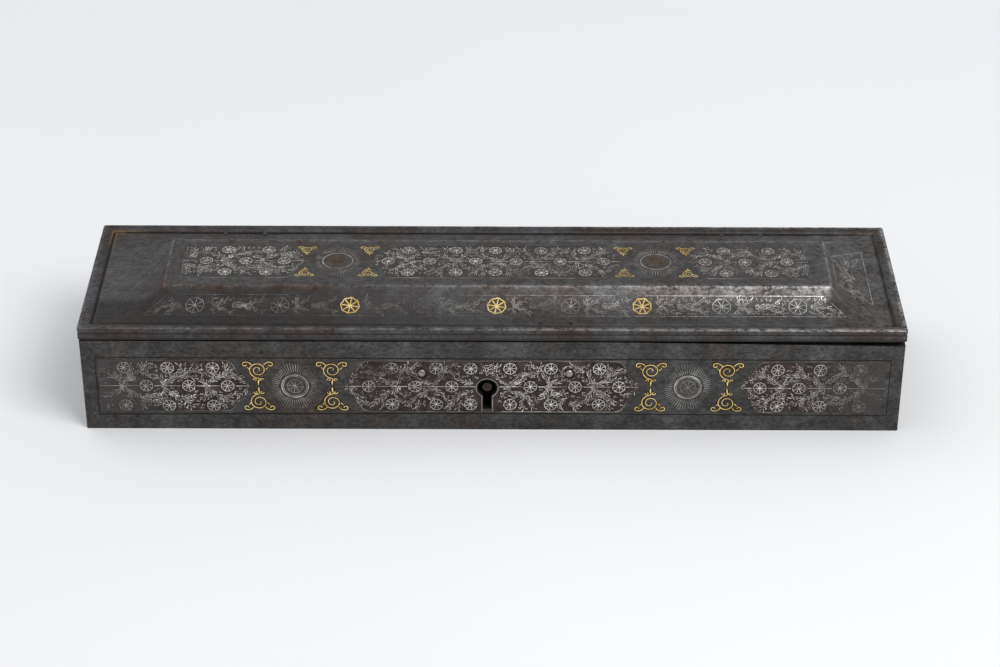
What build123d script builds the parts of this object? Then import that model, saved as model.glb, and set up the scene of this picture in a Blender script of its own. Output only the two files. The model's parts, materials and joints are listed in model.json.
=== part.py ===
from build123d import *
from math import acos, degrees
import os

# Iron pen box: a low sheet-iron body, a hinged lid whose panel is raised on four hollow
# coves inside a mitred moulding, and a sliding-bolt lock worked by a pipe key.
# Millimetres. +X is right, +Y is back, +Z is up; the origin is the centre of the underside.

# Lid, seen from above
lid_length = 300.0
lid_depth = 76.4
lid_overhang = 0.5
moulding_width = 4.6
moulding_height = 4.8
moulding_step = 0.8
lid_sheet = 1.2
side_margin = 3.75
left_margin = 12.5
right_margin = 8.7
cove_run = 13.2
end_cove_run = 12.5
panel_rise = 6.8
crown_round = 1.0
crown_land = 0.6

# Profile of the moulding's outer face
bead_height = 2.0
bead_quirk = 0.35
quirk_width = 0.6
moulding_chamfer = 0.25
moulding_inner_round = 0.3
mitre_round = 1.2

# Lip inside the body
lip_clearance = 0.5
lip_sheet = 1.4
lip_drop = 3.0
lip_chamfer = 0.4
lip_back_gap = 2.0

# Body
body_height = 38.0
wall = 1.8
end_wall = 1.8
floor_sheet = 1.6
seam_gap = 0.7
corner_round = 0.5
corner_drop = 1.3
drop_length = 105.0

# Hinges
hinge_inset = 54.5
knuckle_length = 8.0
knuckle_gap = 0.15
barrel_radius = 2.0
hinge_pin_radius = 1.0
pin_running_clearance = 0.05
leaf_sheet = 1.0
body_leaf_drop = 12.0
lid_leaf_depth = 5.4
notch_clearance = 0.3
pivot_inset = 0.15
small_rivet_radius = 0.8
leaf_rivet_spacing = 15.0
rivet_clearance = 0.03

# Keyhole, below the bolt, and the two rivets beside it
keyhole_x = -1.85
keyhole_below_bolt = 5.8
keyhole_radius = 3.6
key_slot_width = 3.1
key_reach = 9.1
keyhole_throat_round = 1.0
lock_rivet_left = -25.7
lock_rivet_right = 28.0
lock_rivet_rise = 6.4
lock_rivet_radius = 0.9
lock_rivet_head_radius = 1.55
lock_rivet_head_height = 0.6
lock_rivet_tail_radius = 1.8
lock_rivet_tail_height = 0.7

# Lock
lock_sheet = 1.2
lock_edge = 7.0
lock_plate_skirt = 3.6
bolt_standoff = 3.0
bolt_thickness = 2.5
bolt_height = 9.0
bolt_left = -30.0
bolt_shoulder = 14.0
bolt_nose_height = 4.0
bolt_nose_length = 6.8
bolt_tail_length = 9.0
bolt_tail_height = 6.0
bolt_travel = 6.0
bolt_clearance = 0.1
talon_radius = 4.0
guide_length = 3.5
guide_wall = 1.2
guide_below_lip = 0.7
left_guide_x = -19.0
right_guide_x = 9.0
bridge_strap = 1.2
bridge_height = 8.0
bridge_inside = 8.9
bridge_foot = 6.0
key_room = 0.9
drill_pin_radius = 1.75
drill_pin_setback = 0.7
drill_pin_head_radius = 2.4
drill_pin_head_height = 0.6
ward_radius = 5.9
ward_sheet = 0.7
ward_height = 2.5
ward_gap = 5.0
spring_post_x = -28.0
spring_post_drop = 12.0
spring_post_radius = 1.2
spring_sheet = 0.6
spring_eye_sheet = 0.8
spring_bend = 6.0
spring_end = -19.8
spring_clearance = 0.05
spring_post_tail = 0.4

# Staple under the lid that the bolt enters
staple_x = 21.8
staple_sheet = 2.2
staple_room = 0.8
staple_leg = 1.2
staple_bridge = 1.6
staple_foot_half_length = 9.0
staple_foot_sheet = 1.0
staple_foot_depth = 4.0
staple_rivet_spacing = 11.0

# Faces that several pieces share
body_length = lid_length - 2 * lid_overhang
body_depth = lid_depth - 2 * lid_overhang
inside_length = body_length - 2 * end_wall
inside_depth = body_depth - 2 * wall
seam = body_height + seam_gap
margin_top = seam + moulding_height - moulding_step
margin_under = margin_top - lid_sheet
side_seat = lid_overhang + wall + lip_clearance
end_seat = lid_overhang + end_wall + lip_clearance
foot_y = lid_depth / 2 - moulding_width - side_margin
foot_left = -lid_length / 2 + moulding_width + left_margin
foot_right = lid_length / 2 - moulding_width - right_margin
lip_low = body_height - lip_drop
lip_front = -lid_depth / 2 + side_seat
lip_end = lid_length / 2 - end_seat
bolt_top = lip_low - guide_below_lip - guide_wall - bolt_clearance
bolt_low = bolt_top - bolt_height
keyhole_z = bolt_low - keyhole_below_bolt
lock_rivet_z = keyhole_z + lock_rivet_rise
up = Vector(0, 0, 1)

os.makedirs("parts", exist_ok=True)


def save(piece, name):
    """Label a finished piece and write it under its own name."""
    piece.part.label = name
    export_step(piece.part, "parts/" + name + ".step")


def upright(depth):
    """Plane at the given Y that faces the front; its sketches read X and Z."""
    return Plane.XZ.offset(-depth)


def drill(face, points, radius, depth):
    """Cut round holes for rivets out of the piece that is being made."""
    with BuildSketch(face) as holes:
        with Locations(*points):
            Circle(radius + rivet_clearance)
    extrude(holes.sketch, amount=-depth, mode=Mode.SUBTRACT)


def flush_rivets(face, points, grip):
    """Small rivets through a stack as thick as grip, filed flush at both ends."""
    with BuildPart() as rivets:
        with BuildSketch(face):
            with Locations(*points):
                Circle(small_rivet_radius)
        extrude(amount=-grip)
    return rivets


def keyhole_outline(plane):
    """Round head for the pipe of the key, with a slot below it for the bit."""
    with BuildSketch(plane) as outline:
        with Locations((keyhole_x, keyhole_z)):
            Circle(keyhole_radius)
            Rectangle(key_slot_width, key_reach, align=(Align.CENTER, Align.MAX))
        throat = outline.vertices().sort_by(Axis.Y)[2:4]
        fillet(throat, keyhole_throat_round)
    return outline.sketch


# Body: a floor let in between four walls, brazed at the corners

with BuildPart() as bottom_plate:
    with BuildSketch():
        Rectangle(inside_length, inside_depth)
    extrude(amount=floor_sheet)
save(bottom_plate, "bottom_plate")

# The front wall's top edge falls away towards its worn right corner, so the seam
# opens from a hair at the left to about two millimetres at the right.
front_face = upright(-body_depth / 2)
lock_rivet_points = [(lock_rivet_left, lock_rivet_z), (lock_rivet_right, lock_rivet_z)]

with BuildPart() as front_wall:
    with BuildSketch(front_face):
        with BuildLine():
            Polyline(
                (-body_length / 2, 0),
                (body_length / 2, 0),
                (body_length / 2, body_height - corner_drop),
                (body_length / 2 - drop_length, body_height),
                (-body_length / 2, body_height),
                close=True,
            )
        make_face()
    extrude(amount=-wall)
    extrude(keyhole_outline(front_face), amount=-wall, mode=Mode.SUBTRACT)
    drill(front_face, lock_rivet_points, lock_rivet_radius, wall)
    outer_corners = front_wall.edges().filter_by(Axis.Z).group_by(Axis.Y)[0]
    fillet(outer_corners.sort_by(Axis.X)[0], corner_round)
    outer_corners = front_wall.edges().filter_by(Axis.Z).group_by(Axis.Y)[0]
    fillet(outer_corners.sort_by(Axis.X)[-1], corner_round)
save(front_wall, "front_wall")

# Each hinge has three knuckles: the outer two grow from the body leaf, the middle one
# from the lid leaf. The pivot lies a little inside the back face, so that the lid's
# overhanging edge lands on the back wall just past the end of its travel.
hinge_centres = [hinge_inset - body_length / 2, body_length / 2 - hinge_inset]
hinge_width = 3 * knuckle_length + 2 * knuckle_gap
notch_half = hinge_width / 2 + notch_clearance
pivot_y = body_depth / 2 - pivot_inset
pivot_z = body_height + seam_gap / 2
swing_radius = barrel_radius + notch_clearance
leaf_rivet_x = [
    hinge_x + side * leaf_rivet_spacing / 2 for hinge_x in hinge_centres for side in (-1, 1)
]
body_leaf_face = inside_depth / 2
lid_leaf_edge = lid_depth / 2 - side_seat
body_leaf_rivet_z = pivot_z - barrel_radius - body_leaf_drop / 2
lid_leaf_rivet_y = lid_leaf_edge - lid_leaf_depth / 2
body_leaf_points = [(rivet_x, body_leaf_rivet_z) for rivet_x in leaf_rivet_x]
lid_leaf_points = [(rivet_x, lid_leaf_rivet_y) for rivet_x in leaf_rivet_x]

with BuildPart() as back_wall:
    with BuildSketch():
        with Locations((0, body_depth / 2)):
            Rectangle(body_length, wall, align=(Align.CENTER, Align.MAX))
    extrude(amount=body_height)
    fillet(back_wall.edges().filter_by(Axis.Z).group_by(Axis.Y)[-1], corner_round)
    with BuildSketch(Plane.XY.offset(pivot_z - swing_radius)):
        for hinge_x in hinge_centres:
            with Locations((hinge_x, body_depth / 2)):
                Rectangle(2 * notch_half, 2 * wall, align=(Align.CENTER, Align.CENTER))
    extrude(amount=body_height, mode=Mode.SUBTRACT)
    drill(upright(body_leaf_face), body_leaf_points, small_rivet_radius, wall)
save(back_wall, "back_wall")


def end_wall_piece(outer_x, inward):
    """End wall between the front and back walls; the right one falls towards the front."""
    drop = corner_drop if inward < 0 else 0.0
    with BuildPart() as piece:
        with BuildSketch(Plane.YZ.offset(outer_x)):
            with BuildLine():
                Polyline(
                    (-inside_depth / 2, 0),
                    (inside_depth / 2, 0),
                    (inside_depth / 2, body_height),
                    (-inside_depth / 2, body_height - drop),
                    close=True,
                )
            make_face()
        extrude(amount=inward * end_wall)
    return piece


save(end_wall_piece(-body_length / 2, 1), "left_end_wall")
save(end_wall_piece(body_length / 2, -1), "right_end_wall")


# Lid: a flat raised panel and four coves, brazed together along the mitres and the
# panel's edges

crown = margin_top + panel_rise
panel_left = foot_left + end_cove_run + crown_land
panel_right = foot_right - end_cove_run - crown_land
panel_half_depth = foot_y - cove_run - crown_land

with BuildPart() as lid_panel:
    with BuildSketch(Plane.XY.offset(crown)):
        with Locations((panel_left, 0)):
            Rectangle(
                panel_right - panel_left, 2 * panel_half_depth, align=(Align.MIN, Align.CENTER)
            )
    extrude(amount=-lid_sheet)
save(lid_panel, "lid_panel")


def mitre(side_x, side_y):
    """Plan of the joint at one corner, from the sheet's corner to the panel's."""
    foot_x, panel_x = (foot_left, panel_left) if side_x < 0 else (foot_right, panel_right)
    return [
        (side_x * lip_end, side_y * -lip_front),
        (foot_x, side_y * foot_y),
        (panel_x, side_y * panel_half_depth),
    ]


def cove(inward, edge, foot, run, plan):
    """A flat margin and a hollow cove under one side of the panel, cut to its plan."""
    along = inward.cross(up)
    radius = (run**2 + panel_rise**2) / (2 * panel_rise)
    outer_sweep = degrees(acos(1 - panel_rise / radius))
    inner_sweep = degrees(acos(1 - panel_rise / (radius + lid_sheet)))
    land = run + crown_land - foot
    with BuildPart() as strip:
        with BuildSketch(Plane(origin=(0, 0, 0), x_dir=inward, z_dir=along)):
            with BuildLine():
                outer = CenterArc((-foot, margin_top + radius), radius, -90, outer_sweep)
                inner = CenterArc(
                    (-foot, margin_top + radius), radius + lid_sheet, -90, inner_sweep
                )
                Polyline(outer @ 1, (land, crown), (land, crown - lid_sheet), inner @ 1)
                Polyline(inner @ 0, (-edge, margin_under), (-edge, margin_top), outer @ 0)
            make_face()
        extrude(amount=lid_length / 2, both=True)
        crest = strip.edges().filter_by(Axis((0, 0, 0), along)).group_by(Axis.Z)[-1]
        fillet(crest.sort_by_distance((0, 0, crown))[-1], crown_round)
        with BuildSketch(Plane.XY.offset(margin_under)):
            with BuildLine():
                Polyline(*plan, close=True)
            make_face()
        extrude(amount=lid_sheet + panel_rise, mode=Mode.INTERSECT)
    return strip


staple_middle = staple_x + staple_sheet / 2
staple_foot_front = lip_front + lip_sheet
staple_points = [
    (staple_middle + side * staple_rivet_spacing / 2, staple_foot_front + staple_foot_depth / 2)
    for side in (-1, 1)
]

front_cove = cove(
    Vector(0, 1, 0), -lip_front, foot_y, cove_run, mitre(-1, -1) + mitre(1, -1)[::-1]
)
with BuildPart() as lid_front_cove:
    add(front_cove.part)
    drill(Plane.XY.offset(margin_top), staple_points, small_rivet_radius, lid_sheet)
save(lid_front_cove, "lid_front_cove")

back_cove = cove(
    Vector(0, -1, 0), -lip_front, foot_y, cove_run, mitre(-1, 1) + mitre(1, 1)[::-1]
)
with BuildPart() as lid_back_cove:
    add(back_cove.part)
    drill(Plane.XY.offset(margin_top), lid_leaf_points, small_rivet_radius, lid_sheet)
save(lid_back_cove, "lid_back_cove")

left_plan = mitre(-1, -1) + mitre(-1, 1)[::-1]
right_plan = mitre(1, -1) + mitre(1, 1)[::-1]
save(cove(Vector(1, 0, 0), lip_end, -foot_left, end_cove_run, left_plan), "lid_left_cove")
save(cove(Vector(-1, 0, 0), lip_end, foot_right, end_cove_run, right_plan), "lid_right_cove")


# Lid moulding: four strips mitred at the corners, lapping over the coves' margins

def moulding_strip(inward, half_span, length, seat):
    """A strip whose outer face lies half_span from the centre, mitred at both ends.

    Outside it has a low band, a quirk and a bead; inside, a step over the margin.
    """
    along = inward.cross(up)
    rim = Plane(origin=up * seam - inward * half_span, x_dir=inward, z_dir=along)
    quirk_top = moulding_height - bead_height
    quirk_low = quirk_top - quirk_width
    band_step = moulding_height - moulding_step
    with BuildPart() as strip:
        with BuildSketch(rim):
            with BuildLine():
                bead = ThreePointArc(
                    (bead_quirk, quirk_top),
                    (0, moulding_height - bead_height / 2),
                    (bead_height / 2, moulding_height),
                )
                Polyline(
                    bead @ 1,
                    (moulding_width - moulding_inner_round, moulding_height),
                    (moulding_width, moulding_height - moulding_inner_round),
                    (moulding_width, band_step),
                    (seat, band_step),
                    (seat, 0),
                    (moulding_chamfer, 0),
                    (0, moulding_chamfer),
                    (0, quirk_low),
                    (bead_quirk, quirk_low + quirk_width / 2),
                    bead @ 0,
                )
            make_face()
        extrude(amount=length / 2, both=True)
        for end in (-1, 1):
            corner = along * (end * length / 2) - inward * half_span
            split(bisect_by=Plane(origin=corner, z_dir=along * end + inward), keep=Keep.BOTTOM)
        with BuildSketch(Plane.XY.offset(seam)):
            RectangleRounded(lid_length, lid_depth, mitre_round)
        extrude(amount=moulding_height, mode=Mode.INTERSECT)
    return strip


save(moulding_strip(Vector(0, 1, 0), lid_depth / 2, lid_length, side_seat), "lid_front_moulding")
save(moulding_strip(Vector(1, 0, 0), lid_length / 2, lid_depth, end_seat), "lid_left_moulding")
save(moulding_strip(Vector(-1, 0, 0), lid_length / 2, lid_depth, end_seat), "lid_right_moulding")

# The back strip is notched over the two hinge barrels.
back_strip = moulding_strip(Vector(0, -1, 0), lid_depth / 2, lid_length, side_seat)
with BuildPart() as lid_back_moulding:
    add(back_strip.part)
    with BuildSketch(Plane.XY.offset(pivot_z + swing_radius)):
        for hinge_x in hinge_centres:
            with Locations((hinge_x, lid_depth / 2)):
                Rectangle(2 * notch_half, 4 * side_seat)
    extrude(amount=-2 * swing_radius, mode=Mode.SUBTRACT)
save(lid_back_moulding, "lid_back_moulding")


# Lip: three strips under the lid that drop just inside the front and end walls

with BuildPart() as lid_front_lip:
    with BuildSketch(Plane.XY.offset(margin_under)):
        with Locations((0, lip_front)):
            Rectangle(2 * lip_end, lip_sheet, align=(Align.CENTER, Align.MIN))
    extrude(amount=lip_low - margin_under)
    low_edges = lid_front_lip.edges().filter_by(Axis.X).group_by(Axis.Z)[0]
    chamfer(low_edges.sort_by(Axis.Y)[0], lip_chamfer)
save(lid_front_lip, "lid_front_lip")


def end_lip(side):
    """End lip from the front lip back to the hinge side."""
    front = lip_front + lip_sheet
    back = inside_depth / 2 - lip_back_gap
    with BuildPart() as lip:
        with BuildSketch(Plane.XY.offset(margin_under)):
            with Locations((side * (lip_end - lip_sheet / 2), (front + back) / 2)):
                Rectangle(lip_sheet, back - front)
        extrude(amount=lip_low - margin_under)
        outer_low = lip.edges().filter_by(Axis.Y).group_by(Axis.Z)[0].sort_by(Axis.X)
        chamfer(outer_low[-1 if side > 0 else 0], lip_chamfer)
    return lip


save(end_lip(-1), "lid_left_lip")
save(end_lip(1), "lid_right_lip")


# Hinges: leaves rolled round the pin at the pivot line

def knuckle_starts(hinge_x):
    """Left end of each of the hinge's three knuckles."""
    left = hinge_x - hinge_width / 2
    return [left + index * (knuckle_length + knuckle_gap) for index in range(3)]


def knuckle(start, neck, bore):
    """One rolled knuckle with the neck that joins it to its leaf."""
    with BuildPart() as roll:
        with BuildSketch(Plane.YZ.offset(start)):
            with BuildLine():
                Polyline(*neck, close=True)
            make_face()
            with Locations((pivot_y, pivot_z)):
                Circle(barrel_radius)
                Circle(bore, mode=Mode.SUBTRACT)
        extrude(amount=knuckle_length)
    return roll.part


neck_low = pivot_z - barrel_radius
neck_top = pivot_z + barrel_radius
body_neck = [
    (body_leaf_face - leaf_sheet, neck_low),
    (pivot_y, neck_low),
    (pivot_y, neck_low + leaf_sheet),
    (body_leaf_face - leaf_sheet, neck_low + leaf_sheet),
]
lid_neck = [
    (pivot_y, neck_top),
    (lid_leaf_edge, neck_top),
    (lid_leaf_edge, margin_under),
    (lid_leaf_edge - leaf_sheet, margin_under),
    (lid_leaf_edge - leaf_sheet, neck_top - leaf_sheet),
    (pivot_y, neck_top - leaf_sheet),
]


def body_leaf(hinge_x):
    """Leaf on the inside of the back wall, with the outer two knuckles."""
    starts = knuckle_starts(hinge_x)
    with BuildPart() as leaf:
        with BuildSketch(upright(body_leaf_face)):
            with Locations((hinge_x, pivot_z - swing_radius)):
                Rectangle(hinge_width, body_leaf_drop, align=(Align.CENTER, Align.MAX))
            with Locations(*[(start, pivot_z - swing_radius) for start in (starts[0], starts[2])]):
                tab_rise = notch_clearance + leaf_sheet
                Rectangle(knuckle_length, tab_rise, align=(Align.MIN, Align.MIN))
        extrude(amount=leaf_sheet)
        for start in (starts[0], starts[2]):
            add(knuckle(start, body_neck, hinge_pin_radius + rivet_clearance))
        leaf_front = upright(body_leaf_face - leaf_sheet)
        drill(leaf_front, body_leaf_points, small_rivet_radius, leaf_sheet)
    return leaf


def lid_leaf(hinge_x):
    """Leaf under the lid's back margin, with the middle knuckle."""
    starts = knuckle_starts(hinge_x)
    with BuildPart() as leaf:
        with BuildSketch(Plane.XY.offset(margin_under)):
            with Locations((hinge_x, lid_leaf_edge)):
                Rectangle(hinge_width, lid_leaf_depth, align=(Align.CENTER, Align.MAX))
        extrude(amount=-leaf_sheet)
        add(knuckle(starts[1], lid_neck, hinge_pin_radius + pin_running_clearance))
        drill(Plane.XY.offset(margin_under), lid_leaf_points, small_rivet_radius, leaf_sheet)
    return leaf


def hinge_pin(hinge_x):
    """Plain pin through the three knuckles, held by the outer two."""
    with BuildPart() as pin:
        with BuildSketch(Plane.YZ.offset(hinge_x - hinge_width / 2)):
            with Locations((pivot_y, pivot_z)):
                Circle(hinge_pin_radius)
        extrude(amount=hinge_width)
    return pin


for side, hinge_x in zip(("left", "right"), hinge_centres):
    save(body_leaf(hinge_x), side + "_hinge_body_leaf")
    save(lid_leaf(hinge_x), side + "_hinge_lid_leaf")
    save(hinge_pin(hinge_x), side + "_hinge_pin")

body_leaf_stack = leaf_sheet + wall
leaf_front = upright(body_leaf_face - leaf_sheet)
save(flush_rivets(leaf_front, body_leaf_points, body_leaf_stack), "body_leaf_rivets")
lid_leaf_stack = leaf_sheet + lid_sheet
save(flush_rivets(Plane.XY.offset(margin_top), lid_leaf_points, lid_leaf_stack), "lid_leaf_rivets")


# Lock: a plate behind the front wall that carries the bolt, its guides and the drill pin

lock_back = -inside_depth / 2
lock_face = lock_back + lock_sheet
bolt_front = lock_face + bolt_standoff
bolt_back = bolt_front + bolt_thickness
bridge_front = bolt_back + ward_height + key_room
bridge_half = bridge_inside + bridge_strap
bridge_rivet_offset = bridge_half + bridge_foot / 2
bridge_rivet_points = [
    (keyhole_x - bridge_rivet_offset, keyhole_z),
    (keyhole_x + bridge_rivet_offset, keyhole_z),
]

with BuildPart() as lock_plate:
    with BuildSketch(upright(lock_back)):
        plate_left = lock_rivet_left - lock_edge
        plate_length = lock_rivet_right + lock_edge - plate_left
        plate_height = lip_low - keyhole_z + key_reach + lock_plate_skirt
        with Locations((plate_left, lip_low)):
            Rectangle(plate_length, plate_height, align=(Align.MIN, Align.MAX))
    extrude(amount=-lock_sheet)
    extrude(keyhole_outline(upright(lock_back)), amount=-lock_sheet, mode=Mode.SUBTRACT)
    drill(upright(lock_back), lock_rivet_points, lock_rivet_radius, lock_sheet)
    drill(upright(lock_back), bridge_rivet_points, small_rivet_radius, lock_sheet)
save(lock_plate, "lock_plate")

with BuildPart() as lock_rivets:
    with BuildSketch(front_face):
        with Locations(*lock_rivet_points):
            Circle(lock_rivet_head_radius)
    extrude(amount=lock_rivet_head_height)
    chamfer(lock_rivets.edges().group_by(Axis.Y)[0], lock_rivet_head_height / 2)
    with BuildSketch(front_face):
        with Locations(*lock_rivet_points):
            Circle(lock_rivet_radius)
    extrude(amount=-wall - lock_sheet)
    with BuildSketch(upright(lock_face)):
        with Locations(*lock_rivet_points):
            Circle(lock_rivet_tail_radius)
    extrude(amount=-lock_rivet_tail_height)
save(lock_rivets, "lock_rivets")

# The key's bit turns up into the half-round talon and carries the bolt along. At rest
# the bolt is drawn back, so the talon lies half the travel short of the keyhole.
talon_x = keyhole_x - bolt_travel / 2

with BuildPart() as lock_bolt:
    with BuildSketch(upright(bolt_front)):
        with BuildLine():
            Polyline(
                (bolt_left, bolt_low),
                (bolt_shoulder, bolt_low),
                (bolt_shoulder, bolt_top - bolt_nose_height),
                (bolt_shoulder + bolt_nose_length, bolt_top - bolt_nose_height),
                (bolt_shoulder + bolt_nose_length, bolt_top),
                (bolt_left + bolt_tail_length, bolt_top),
                (bolt_left + bolt_tail_length, bolt_low + bolt_tail_height),
                (bolt_left, bolt_low + bolt_tail_height),
                close=True,
            )
        make_face()
        with Locations((talon_x, bolt_low)):
            Circle(talon_radius, mode=Mode.SUBTRACT)
    extrude(amount=-bolt_thickness)
save(lock_bolt, "lock_bolt")


def bolt_guide(left):
    """A keeper on the lock plate with a window that the bolt slides through."""
    guide_back = bolt_back + bolt_clearance + guide_wall
    bolt_middle = ((bolt_front + bolt_back) / 2, (bolt_low + bolt_top) / 2)
    window_height = bolt_height + 2 * bolt_clearance
    with BuildPart() as guide:
        with BuildSketch(Plane.YZ.offset(left)):
            with Locations(((lock_face + guide_back) / 2, bolt_middle[1])):
                Rectangle(guide_back - lock_face, window_height + 2 * guide_wall)
            with Locations(bolt_middle):
                Rectangle(bolt_thickness + 2 * bolt_clearance, window_height, mode=Mode.SUBTRACT)
        extrude(amount=guide_length)
    return guide


save(bolt_guide(left_guide_x), "left_bolt_guide")
save(bolt_guide(right_guide_x), "right_bolt_guide")

# A strap stands over the keyhole on two feet and holds the drill pin, which enters
# the hollow shank of the key.
with BuildPart() as pin_bridge:
    with BuildSketch(Plane.XY.offset(keyhole_z)):
        with BuildLine():
            strap = [
                (bridge_half + bridge_foot, lock_face),
                (bridge_inside, lock_face),
                (bridge_inside, bridge_front),
                (-bridge_inside, bridge_front),
                (-bridge_inside, lock_face),
                (-bridge_half - bridge_foot, lock_face),
                (-bridge_half - bridge_foot, lock_face + bridge_strap),
                (-bridge_half, lock_face + bridge_strap),
                (-bridge_half, bridge_front + bridge_strap),
                (bridge_half, bridge_front + bridge_strap),
                (bridge_half, lock_face + bridge_strap),
                (bridge_half + bridge_foot, lock_face + bridge_strap),
            ]
            Polyline(*[(keyhole_x + x, y) for x, y in strap], close=True)
        make_face()
    extrude(amount=bridge_height / 2, both=True)
    drill(upright(lock_face), bridge_rivet_points, small_rivet_radius, bridge_strap)
    drill(upright(bridge_front), [(keyhole_x, keyhole_z)], drill_pin_radius, bridge_strap)
save(pin_bridge, "pin_bridge")

bridge_stack = bridge_strap + lock_sheet
save(flush_rivets(upright(lock_back), bridge_rivet_points, bridge_stack), "bridge_rivets")

with BuildPart() as drill_pin:
    pin_tip = -body_depth / 2 + drill_pin_setback
    bridge_rear = bridge_front + bridge_strap
    with BuildSketch(upright(pin_tip)):
        with Locations((keyhole_x, keyhole_z)):
            Circle(drill_pin_radius)
    extrude(amount=pin_tip - bridge_rear)
    with BuildSketch(upright(bridge_rear)):
        with Locations((keyhole_x, keyhole_z)):
            Circle(drill_pin_head_radius)
    extrude(amount=-drill_pin_head_height)
save(drill_pin, "drill_pin")

# A ring ward round the pin, open at the bottom, that only a key cut to match can pass.
with BuildPart() as ward_ring:
    with BuildSketch(upright(bridge_front)):
        with Locations((keyhole_x, keyhole_z)):
            Circle(ward_radius)
            Circle(ward_radius - ward_sheet, mode=Mode.SUBTRACT)
            Rectangle(
                ward_gap, 2 * ward_radius, align=(Align.CENTER, Align.MAX), mode=Mode.SUBTRACT
            )
    extrude(amount=ward_height)
save(ward_ring, "ward_ring")

# A leaf spring turned round a post presses up on the bolt's tail and stops it rattling.
spring_post_z = bolt_low - spring_post_drop

with BuildPart() as spring_post:
    with BuildSketch(upright(lock_face)):
        with Locations((spring_post_x, spring_post_z)):
            Circle(spring_post_radius)
    extrude(amount=lock_face - bolt_back - spring_post_tail)
save(spring_post, "spring_post")

with BuildPart() as bolt_spring:
    eye_middle = spring_post_radius + rivet_clearance + spring_eye_sheet / 2
    leaf_z = bolt_low - spring_clearance - spring_sheet / 2
    leaf_x = spring_post_x - eye_middle
    with BuildSketch(upright(bolt_front)):
        with Locations((spring_post_x, spring_post_z)):
            Circle(eye_middle + spring_eye_sheet / 2)
        with BuildLine():
            FilletPolyline(
                (leaf_x, spring_post_z), (leaf_x, leaf_z), (spring_end, leaf_z), radius=spring_bend
            )
        trace(line_width=spring_sheet)
        with Locations((spring_post_x, spring_post_z)):
            Circle(eye_middle - spring_eye_sheet / 2, mode=Mode.SUBTRACT)
    extrude(amount=-bolt_thickness)
save(bolt_spring, "bolt_spring")


# Staple: an eye on a foot under the lid's front margin, for the nose of the bolt

nose_low = bolt_top - bolt_nose_height
staple_front = bolt_front - staple_room - staple_leg
staple_back = bolt_back + staple_room + staple_leg
foot_under = margin_under - staple_foot_sheet

with BuildPart() as lock_staple:
    with BuildSketch(Plane.YZ.offset(staple_x)):
        with BuildLine():
            eye_low = nose_low - staple_room
            Polyline(
                (staple_front, foot_under),
                (staple_back, foot_under),
                (staple_back, eye_low - staple_bridge),
                (staple_front, eye_low - staple_bridge),
                close=True,
            )
        make_face()
        with Locations(((bolt_front + bolt_back) / 2, (nose_low + bolt_top) / 2)):
            Rectangle(
                bolt_thickness + 2 * staple_room, bolt_nose_height + 2 * staple_room,
                mode=Mode.SUBTRACT,
            )
    extrude(amount=staple_sheet)
    bottom_edges = lock_staple.edges().filter_by(Axis.X).group_by(Axis.Z)[0]
    fillet(bottom_edges, staple_leg * 0.8)
    with BuildSketch(Plane.XY.offset(foot_under)):
        with Locations((staple_middle, staple_foot_front)):
            Rectangle(
                2 * staple_foot_half_length, staple_foot_depth, align=(Align.CENTER, Align.MIN)
            )
    extrude(amount=staple_foot_sheet)
    drill(Plane.XY.offset(margin_under), staple_points, small_rivet_radius, staple_foot_sheet)
save(lock_staple, "lock_staple")

staple_stack = staple_foot_sheet + lid_sheet
save(flush_rivets(Plane.XY.offset(margin_top), staple_points, staple_stack), "staple_rivets")
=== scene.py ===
import json
import math

import bmesh
import bpy
import numpy as np
from mathutils import Matrix, Vector, noise


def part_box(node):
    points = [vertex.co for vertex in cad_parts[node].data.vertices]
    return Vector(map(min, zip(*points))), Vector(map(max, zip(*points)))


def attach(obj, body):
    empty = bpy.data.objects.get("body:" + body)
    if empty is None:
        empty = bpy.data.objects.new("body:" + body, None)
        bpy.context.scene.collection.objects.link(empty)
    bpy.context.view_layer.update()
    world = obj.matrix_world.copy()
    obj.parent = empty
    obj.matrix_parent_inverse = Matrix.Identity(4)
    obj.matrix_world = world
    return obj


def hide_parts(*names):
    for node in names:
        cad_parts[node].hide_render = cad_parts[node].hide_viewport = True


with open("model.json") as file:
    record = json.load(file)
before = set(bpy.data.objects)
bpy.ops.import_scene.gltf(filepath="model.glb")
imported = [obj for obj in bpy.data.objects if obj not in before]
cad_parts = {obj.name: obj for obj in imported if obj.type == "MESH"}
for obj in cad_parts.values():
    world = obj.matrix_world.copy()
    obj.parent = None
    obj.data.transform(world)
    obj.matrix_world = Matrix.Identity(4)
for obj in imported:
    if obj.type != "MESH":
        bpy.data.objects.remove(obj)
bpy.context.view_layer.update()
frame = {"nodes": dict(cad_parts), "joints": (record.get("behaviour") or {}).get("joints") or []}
nodes = frame["nodes"]


# The view. The box is seen from the front and a little above, from about a metre away,
# through a long lens. The place and the turn of the camera were fitted to the box's own
# corners.
MM = 0.001


def put(name, data):
    """A new object with its data, linked to the scene."""
    thing = bpy.data.objects.new(name, data)
    bpy.context.scene.collection.objects.link(thing)
    return thing


eye = Vector((3.46, -828.58, 534.16)) * MM
pitch, yaw, roll = math.radians(31.91), math.radians(-0.049), math.radians(0.155)
ahead = Vector(
    (math.sin(yaw) * math.cos(pitch), math.cos(yaw) * math.cos(pitch), -math.sin(pitch))
)
level = Vector((math.cos(yaw), -math.sin(yaw), 0))
above = level.cross(ahead)
right = math.cos(roll) * level + math.sin(roll) * above
above = math.cos(roll) * above - math.sin(roll) * level
camera_data = bpy.data.cameras.new("front_view")
camera_data.sensor_width = 36
camera_data.lens = 93.04
camera_data.clip_start = 0.05
camera = put("front_view", camera_data)
aimed = Matrix((right, above, -ahead)).transposed().to_4x4()
camera.matrix_world = Matrix.Translation(eye) @ aimed
bpy.context.scene.camera = camera


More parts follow.
